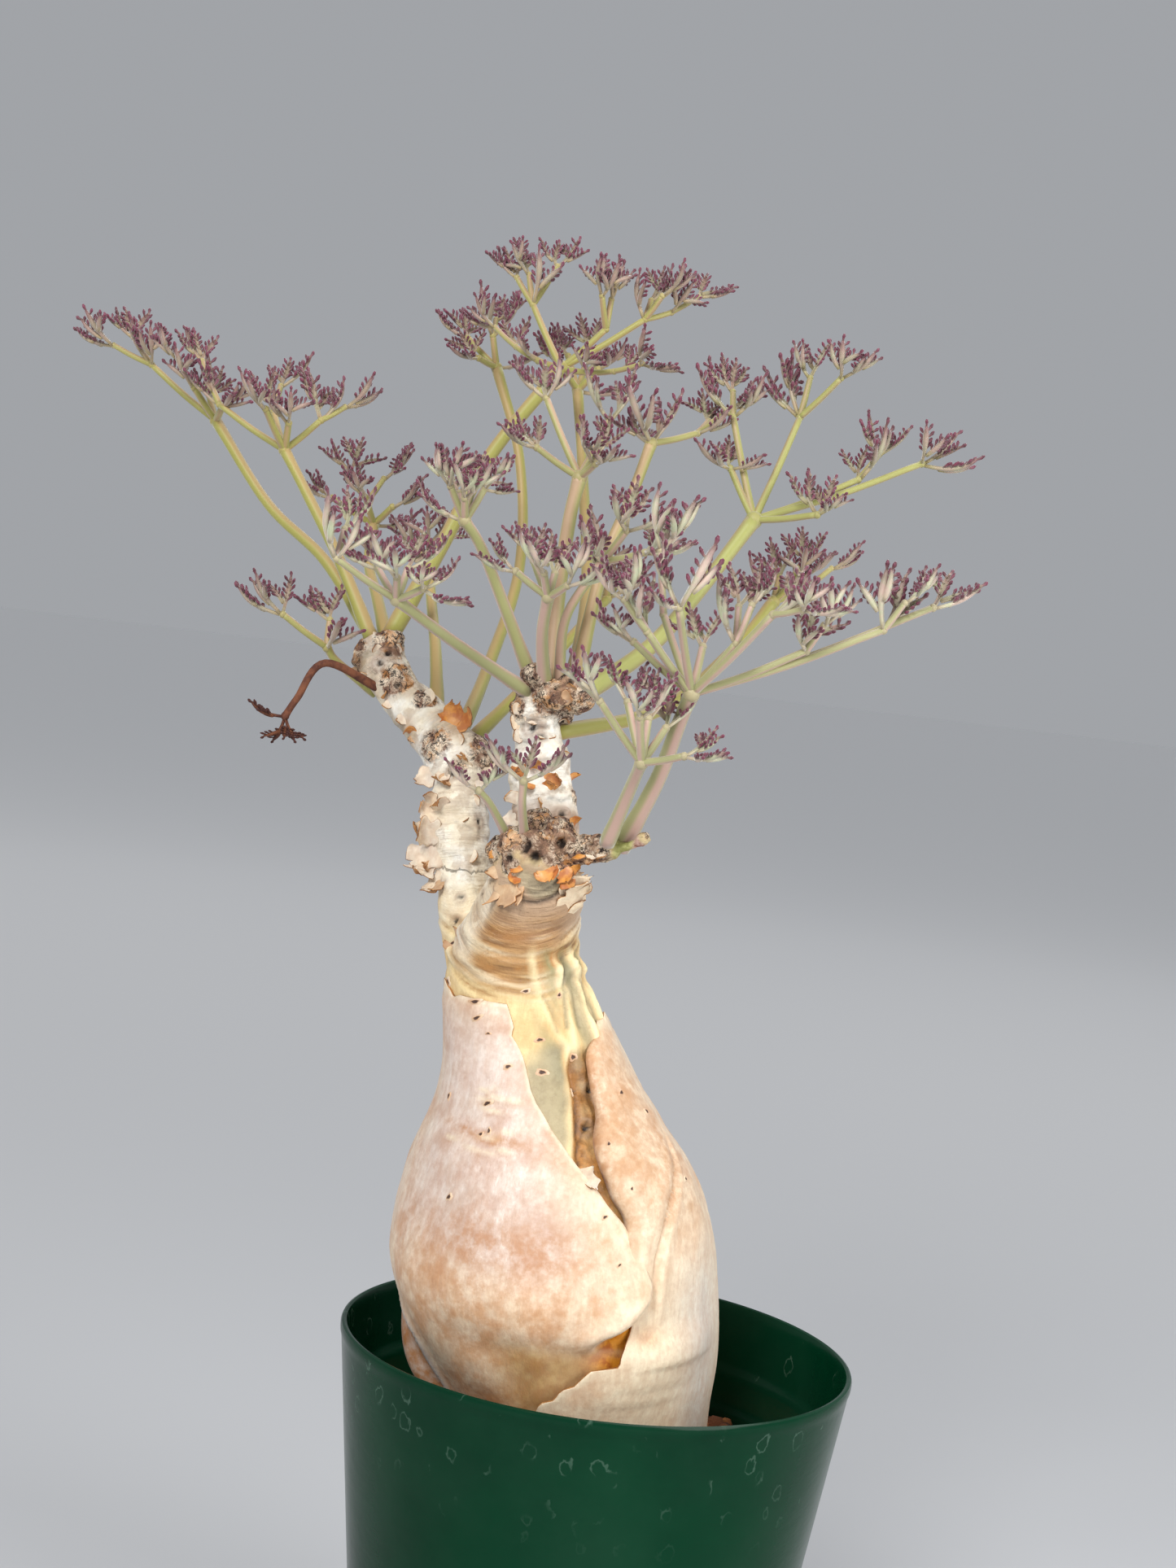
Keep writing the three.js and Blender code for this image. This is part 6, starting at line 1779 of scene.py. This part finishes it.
# %% Plan the arms
LONGEST_BLADE, BLADE_LENGTH, BLADE_SPACING = 13.0, 8.5, 7.0
FOOT_OUT, ARM_SAG, TURN_BY_CHANCE = 0.4, 0.07, 1.2


def plan_arms(start, arms, count):
    """The arms from a joint, as a tree of joints and leaflets."""
    start = np.array(start, float)
    children = []
    for index, arm in enumerate(arms):
        forked = isinstance(arm, dict)
        target = np.array(arm["knee"] if forked else arm, float)
        length = np.linalg.norm(target - start)
        outward = (target - start) / length
        number = count * 7 + index
        if forked:
            children.append({"point": target, "children": plan_arms(target, arm["tips"], number + 1)})
        elif length > LONGEST_BLADE:
            children.append(plan_long_arm(start, target, outward, number))
        else:
            foot = start + outward * FOOT_OUT
            children.append({"foot": foot, "run": target - foot, "outward": outward})
    return children


def plan_long_arm(start, target, outward, number):
    """An arm with leaflets on alternate sides on the way to its last one."""
    end = target - outward * BLADE_LENGTH
    reach = np.linalg.norm(end - start)
    count = max(1, math.floor(reach / BLADE_SPACING + 0.5))
    side = unit(np.cross(outward, UP))
    foot = end + outward * FOOT_OUT
    following = {"foot": foot, "run": target - foot, "outward": outward}
    for i in range(count, 0, -1):
        share = i / count
        point = start + (end - start) * share - UP * ARM_SAG * reach * 4 * share * (1 - share)
        hand = 1 if (i + number) % 2 == 0 else -1
        run = unit(outward * 0.5 + UP * 0.7 + side * 0.6 * hand)
        run = run * BLADE_LENGTH * (0.85 + 0.3 * chance(number + i))
        own = {"foot": point, "run": run, "outward": outward}
        following = {"point": point, "children": [following, own]}
    return following


def across_of(run, outward, seed):
    """The direction of a leaflet's width, with its inner face towards the sky."""
    sideways = unit(np.cross(outward, UP))
    in_plane = outward * 0.8 + sideways * (chance(seed) - 0.5) * TURN_BY_CHANCE
    across = unit(in_plane - run * (in_plane @ run) / (run @ run))
    return -across if np.cross(run, across)[2] < 0 else across


print("arms of the first leaf:", len(plan_arms(LEAVES[0]["stalk"][-1], LEAVES[0]["arms"], 1)))

# %% Model a few leaflets as patterns
# The mark grown runs from 0 at a stalk's foot over 1 at its hub and 2 at the end of its
# arms to 3 at the tip of a blade.
PATTERNS = 12
# Along a blade: share of its length, half width and depth of its fold.
BLADE_ROWS = np.array([
    (0.0, 0.3, 0.3), (0.15, 0.28, 0.32), (0.3, 0.31, 0.36), (0.42, 0.4, 0.42), (0.53, 0.5, 0.46),
    (0.64, 0.56, 0.46), (0.76, 0.54, 0.42), (0.88, 0.43, 0.3), (1.0, 0.22, 0.12),
])
BLADE_THICKNESS = 0.3
# Across a blade: share of the half width, share of the fold, whether it is the inner face.
SECTION = np.array([
    (1, 0, 0.1), (0.6, -0.42, 1), (0, -0.8, 1), (-0.6, -0.42, 1), (-1, 0, 0.1), (-0.78, -0.62, 0),
    (0, -1.0, 0), (0.78, -0.62, 0),
])
# Along a tooth: share of its length, radius, how maroon it is.
TOOTH_ROWS = np.array([(-0.3, 0.2, 0.2), (0.2, 0.19, 0.85), (0.68, 0.32, 1), (1.02, 0.15, 1)])
TOOTH_SIDES = 5
# A lobe is a shorter blade without the slender lower rows.
LOBE_FIRST_ROW = 3


def add_tooth(clay, base, direction, ahead, length, girth, inner):
    """A small hooked club, slender at its base."""
    shares, radii, darkness = TOOTH_ROWS.T
    hooked = 0.35 * ahead + 0.15 * UP
    path = base + np.outer(shares * length, direction) + np.outer(shares**2 * length, hooked)
    add_tube(clay, path, radii * girth, TOOTH_SIDES, tooth=darkness, inner=inner, grown=3.0)


def add_blade(clay, start, heading, length, girth, first_row, seed, lobes):
    """A folded blade along a heading in the pattern's plane, with its teeth and lobes."""
    rows = BLADE_ROWS[first_row:].copy()
    rows[:, 0] = (rows[:, 0] - rows[0, 0]) / (1 - rows[0, 0])
    ahead = np.array([math.cos(heading), math.sin(heading), 0.0])
    side = np.array([-ahead[1], ahead[0], 0.0])
    curl = np.outer(rows[:, 0] ** 2 * (chance(seed + 0.3) - 0.5) * length * 0.6, side)
    spine = start + np.outer(rows[:, 0] * length, ahead) + curl
    wide = rows[:, 1:2] * girth * SECTION[:, 0]
    deep = rows[:, 2:3] * girth * SECTION[:, 1] - np.where(SECTION[:, 2] == 0, BLADE_THICKNESS * girth, 0)
    points = spine[:, None] + wide[..., None] * side + deep[..., None] * UP
    grown = np.repeat(2 + rows[:, 0], len(SECTION))
    red = np.repeat(0.8 * ease(0.66, 1.02, rows[:, 0]), len(SECTION))
    faces = [block[:, ::-1] for block in tube_faces(len(rows), len(SECTION))]
    clay.add(points, faces, grown=grown, inner=np.tile(SECTION[:, 2], len(rows)), tooth=red)

    def on_spine(share):
        return np.array([np.interp(share, rows[:, 0], column) for column in spine.T])

    count, first = (3, 0.34) if first_row else (4, 0.38)
    for hand in (-1, 1):
        for i in range(count):
            share = first + (0.97 - first) * (i + 0.25 * (hand + 1)) / count
            half = np.interp(share, rows[:, 0], rows[:, 1]) * girth
            base = on_spine(share) + side * hand * half * 0.9
            jitter = [0.4 * (chance(seed + 3 * i + hand + j / 4) - 0.5) for j in range(3)]
            direction = unit(0.5 * ahead + 0.65 * hand * side + 0.42 * UP + jitter)
            size = 0.6 + 0.45 * chance(seed + i * 1.7 + hand)
            add_tooth(clay, base, direction, ahead, size, 1.0, 0.4)
    hook = unit(ahead - 0.35 * UP + 0.3 * side * (chance(seed + 0.9) - 0.5))
    add_tooth(clay, spine[-1] - UP * 0.15, hook, 0 * UP, 0.8 + 0.4 * girth, 1.1, 0.2)
    for number in range(lobes):
        hand = 1 if (number + seed) % 2 == 0 else -1
        base = on_spine(0.24 + 0.22 * number + 0.06 * chance(seed + number))
        base = base + side * hand * 0.4 * girth - UP * 0.2
        turn = heading + hand * math.radians(30 + 22 * chance(seed + number + 0.5))
        reach = length * (0.52 + 0.16 * chance(seed + number + 0.2) - 0.1 * number)
        add_blade(clay, base, turn, reach, 0.85 * girth, LOBE_FIRST_ROW, seed * 3 + number + 1, 0)


def leaflet_pattern(seed):
    """A leaflet at its usual length, with one or two lobes."""
    clay = Clay("grown", "inner", "tooth")
    add_blade(clay, np.zeros(3), 0.0, BLADE_LENGTH - 1.2, 1.0, 0, seed, 1 + seed % 2)
    return clay


patterns = [leaflet_pattern(seed) for seed in range(PATTERNS)]
print("points in the patterns:", [clay.count for clay in patterns])

# %% Grow the leaves
STALK_RADIUS, ARM_RADII = 1.08, (0.72, 0.5)
# Thickness along a stalk, as shares of its radius.
STALK_TAPER = np.array([1.25, 1.3, 1.12, 1.08, 1.02, 1.0, 0.97, 0.95, 0.92, 0.92, 0.95, 1.05])
# A stalk's radius, as a share of the one that the table gives.
STALK_SHARE = 0.87
STALK_SIDES, ARM_SIDES = 16, 10
LEAFLET_SAG, LEAFLET_HOOK = 0.1, 0.3


def grooved(bearing):
    """A stalk's section: round, with a shallow groove."""
    return 1 - 0.16 * bump(0, 0.45, np.angle(np.exp(1j * (bearing - math.pi))))


def add_limb(clay, points, radii, sides, grown, front, steps=5):
    """A stalk or an arm, with stripes along it."""
    path = smooth_path(points, steps * (len(points) - 1))
    rows = np.linspace(0, 1, len(path))
    thickness = np.interp(rows, np.linspace(0, 1, len(radii)), radii)
    stripe = np.tile(ease(-0.5, 0.7, np.cos(bearings(sides) * 2 + 0.6)), len(path))
    grown = np.repeat(np.interp(rows, (0, 1), grown), sides)
    points, faces = tube_points(path, thickness, sides, grooved), tube_faces(len(path), sides)
    clay.add(points, faces, grown=grown, stripe=stripe, front=front)


def add_joint(clay, place, radius, grown, front):
    """A rounded swelling where arms part."""
    add_ball(clay, place, radius, rows=7, sides=10, pole=0.25, grown=grown, front=front, stripe=0.3)


def add_leaflet(clay, leaflet, seed, front):
    """A pattern bent to a leaflet's place."""
    run = leaflet["run"]
    length = np.linalg.norm(run)
    pattern = patterns[int(chance(seed + 0.37) * PATTERNS) % PATTERNS]
    along, across = run / length, across_of(run, leaflet["outward"], seed)
    size = length / BLADE_LENGTH
    local = pattern.all_points() * [size, 0.5 + 0.5 * size, 0.5 + 0.5 * size]
    share = np.clip(local[:, 0] / length, 0, 1.2)
    bend = length * LEAFLET_SAG * np.sin(np.clip(share, 0, 1) * math.pi)
    bend = bend + length * LEAFLET_HOOK * (chance(seed + 0.6) - 0.35) * ease(0.6, 1.3, share)
    points = leaflet["foot"] + np.outer(local[:, 0], along) + np.outer(local[:, 1], across)
    points = points + np.outer(local[:, 2] - bend, np.cross(along, across))
    marks = {name: np.concatenate(values) for name, values in pattern.marks.items()}
    clay.add(points, pattern.faces, front=front, stripe=0.4, **marks)


def grow_children(clay, start, children, depth, seed, front):
    """The arms and leaflets from a joint, each arm a little thinner than the last."""
    for index, child in enumerate(children):
        number = seed * 5 + index
        if "run" in child:
            add_leaflet(clay, child, number, front)
            continue
        point = child["point"]
        thick = [max(ARM_RADII[0] * 0.88**level, ARM_RADII[1]) for level in (depth, depth + 1)]
        grown = [1 + ease(-0.5, 5, level) for level in (depth, depth + 1)]
        middle = (start + point) / 2 - UP * 0.02 * np.linalg.norm(point - start)
        add_limb(clay, [start, middle, point], thick, ARM_SIDES, grown, front)
        add_joint(clay, point, thick[1] * 1.12, grown[1], front)
        grow_children(clay, point, child["children"], depth + 1, number, front)


def grow_leaf(leaf, seed):
    clay = Clay("grown", "inner", "tooth", "stripe", "front", "lime")
    radius = STALK_SHARE * leaf["radius"] if leaf["radius"] else STALK_RADIUS
    stalk = np.array(leaf["stalk"], float)
    front = float(1 - ease(-14, 30, stalk[-1, 1]))
    # The foot starts a little inside the stem.
    stalk[0] -= 1.2 * unit(stalk[1] - stalk[0])
    hub = stalk[-1]
    add_limb(clay, stalk, STALK_TAPER * radius, STALK_SIDES, (0, 1), front, steps=9)
    add_joint(clay, hub, radius * 1.12, 1.0, front)
    grow_children(clay, hub, plan_arms(hub, leaf["arms"], seed), 0, seed, front)
    clay.marks["lime"] = [np.full(clay.count, leaf["lime"])]
    return clay


grown_leaves = {leaf["name"]: grow_leaf(leaf, index + 1) for index, leaf in enumerate(LEAVES)}
print("points in all leaves:", sum(clay.count for clay in grown_leaves.values()))

# %% [markdown]
# ### Leaf finishes
#
# A bloom of fine hairs covers the leaves and pales them towards their outlines, which is what *sheen* is
# for. Stalks at the back are olive and those in front are mauve, and the high leaf on the right, which
# stands in the sun, is the most lime of them. Along a leaf the tone runs from there through pink-beige to a
# grey-green blade, which is painted darker and duller at the back as shade. The folded inside is nearly
# brown, and every tooth is maroon. The withered leaf has none of this: it is brown, matt and brittle.

# %% Finish the leaves
def leaf_finish():
    paint = Finish("living_leaf")
    names = "grown", "inner", "tooth", "stripe", "front", "lime"
    grown, inner, tooth, stripe, front, sunlit = paint.marks(*names).values()
    clouds, specks = paint.mottlings((2.6, 0.4, 1.0), (0.6, 0.6, 4.0))
    olive = paint.coats(
        paint.mixed(stripe, (160, 156, 76), (178, 152, 98)),
        (sunlit, 1, paint.mixed(stripe, (166, 168, 82), (158, 148, 84))),
    )
    stalk = paint.mixed(front, olive, paint.mixed(stripe, (162, 162, 110), (198, 164, 148)))
    beige = paint.mixed(stripe, (190, 184, 140), (212, 182, 166))
    arm = paint.mixed(front, paint.mixed(stripe, (180, 170, 112), (190, 156, 130)), beige)
    arm = paint.coats(arm, (sunlit, 0.55, (160, 152, 82)))
    blade = paint.mixed(clouds, (194, 200, 164), (210, 184, 168))
    # Blades of the leaves at the back are painted darker and duller, as shade.
    blade = paint.coats(blade, (paint.scaled(front, -0.6, 0.6), 1, (136, 100, 88)))
    maroon = paint.mixed(clouds, (106, 30, 58), (80, 32, 42))
    tone = paint.coats(
        stalk,
        (paint.scaled(grown, 1.0, -0.9), 1, arm),
        (paint.scaled(grown, 3.0, -6.06), 1, blade),
        (inner, 0.65, paint.mixed(clouds, (150, 148, 112), (146, 112, 98))),
        (tooth, 1, paint.coats(maroon, (specks, 0.3, (158, 84, 110)))),
    )
    fine = paint.group("relief", Size=3.0, Depth=0.05, Seed=7.0)
    return paint.done(Base_Color=tone, Roughness=0.5, Sheen_Weight=0.5, Sheen_Roughness=0.45, Normal=fine)


def withered_finish():
    paint = Finish("withered_leaf")
    clouds = paint.group("mottling", Size=2.0, Sharpness=0.5, Seed=3.0)
    brown = paint.mixed(clouds, (126, 76, 50), (82, 44, 32))
    tone = paint.coats(brown, (paint.marks("tooth")["tooth"], 1, (70, 36, 30)))
    fine = paint.group("relief", Size=0.5, Depth=0.12, Seed=9.0)
    return paint.done(Base_Color=tone, Roughness=0.85, Normal=fine)


living, withered = leaf_finish(), withered_finish()
for leaf in LEAVES:
    name = leaf["name"]
    material, slot = (withered, "leaf_dried") if leaf["dried"] else (living, "leaf")
    put_up(name + "_grown", grown_leaves[name].mesh(name + "_grown"), [material], slot, name)
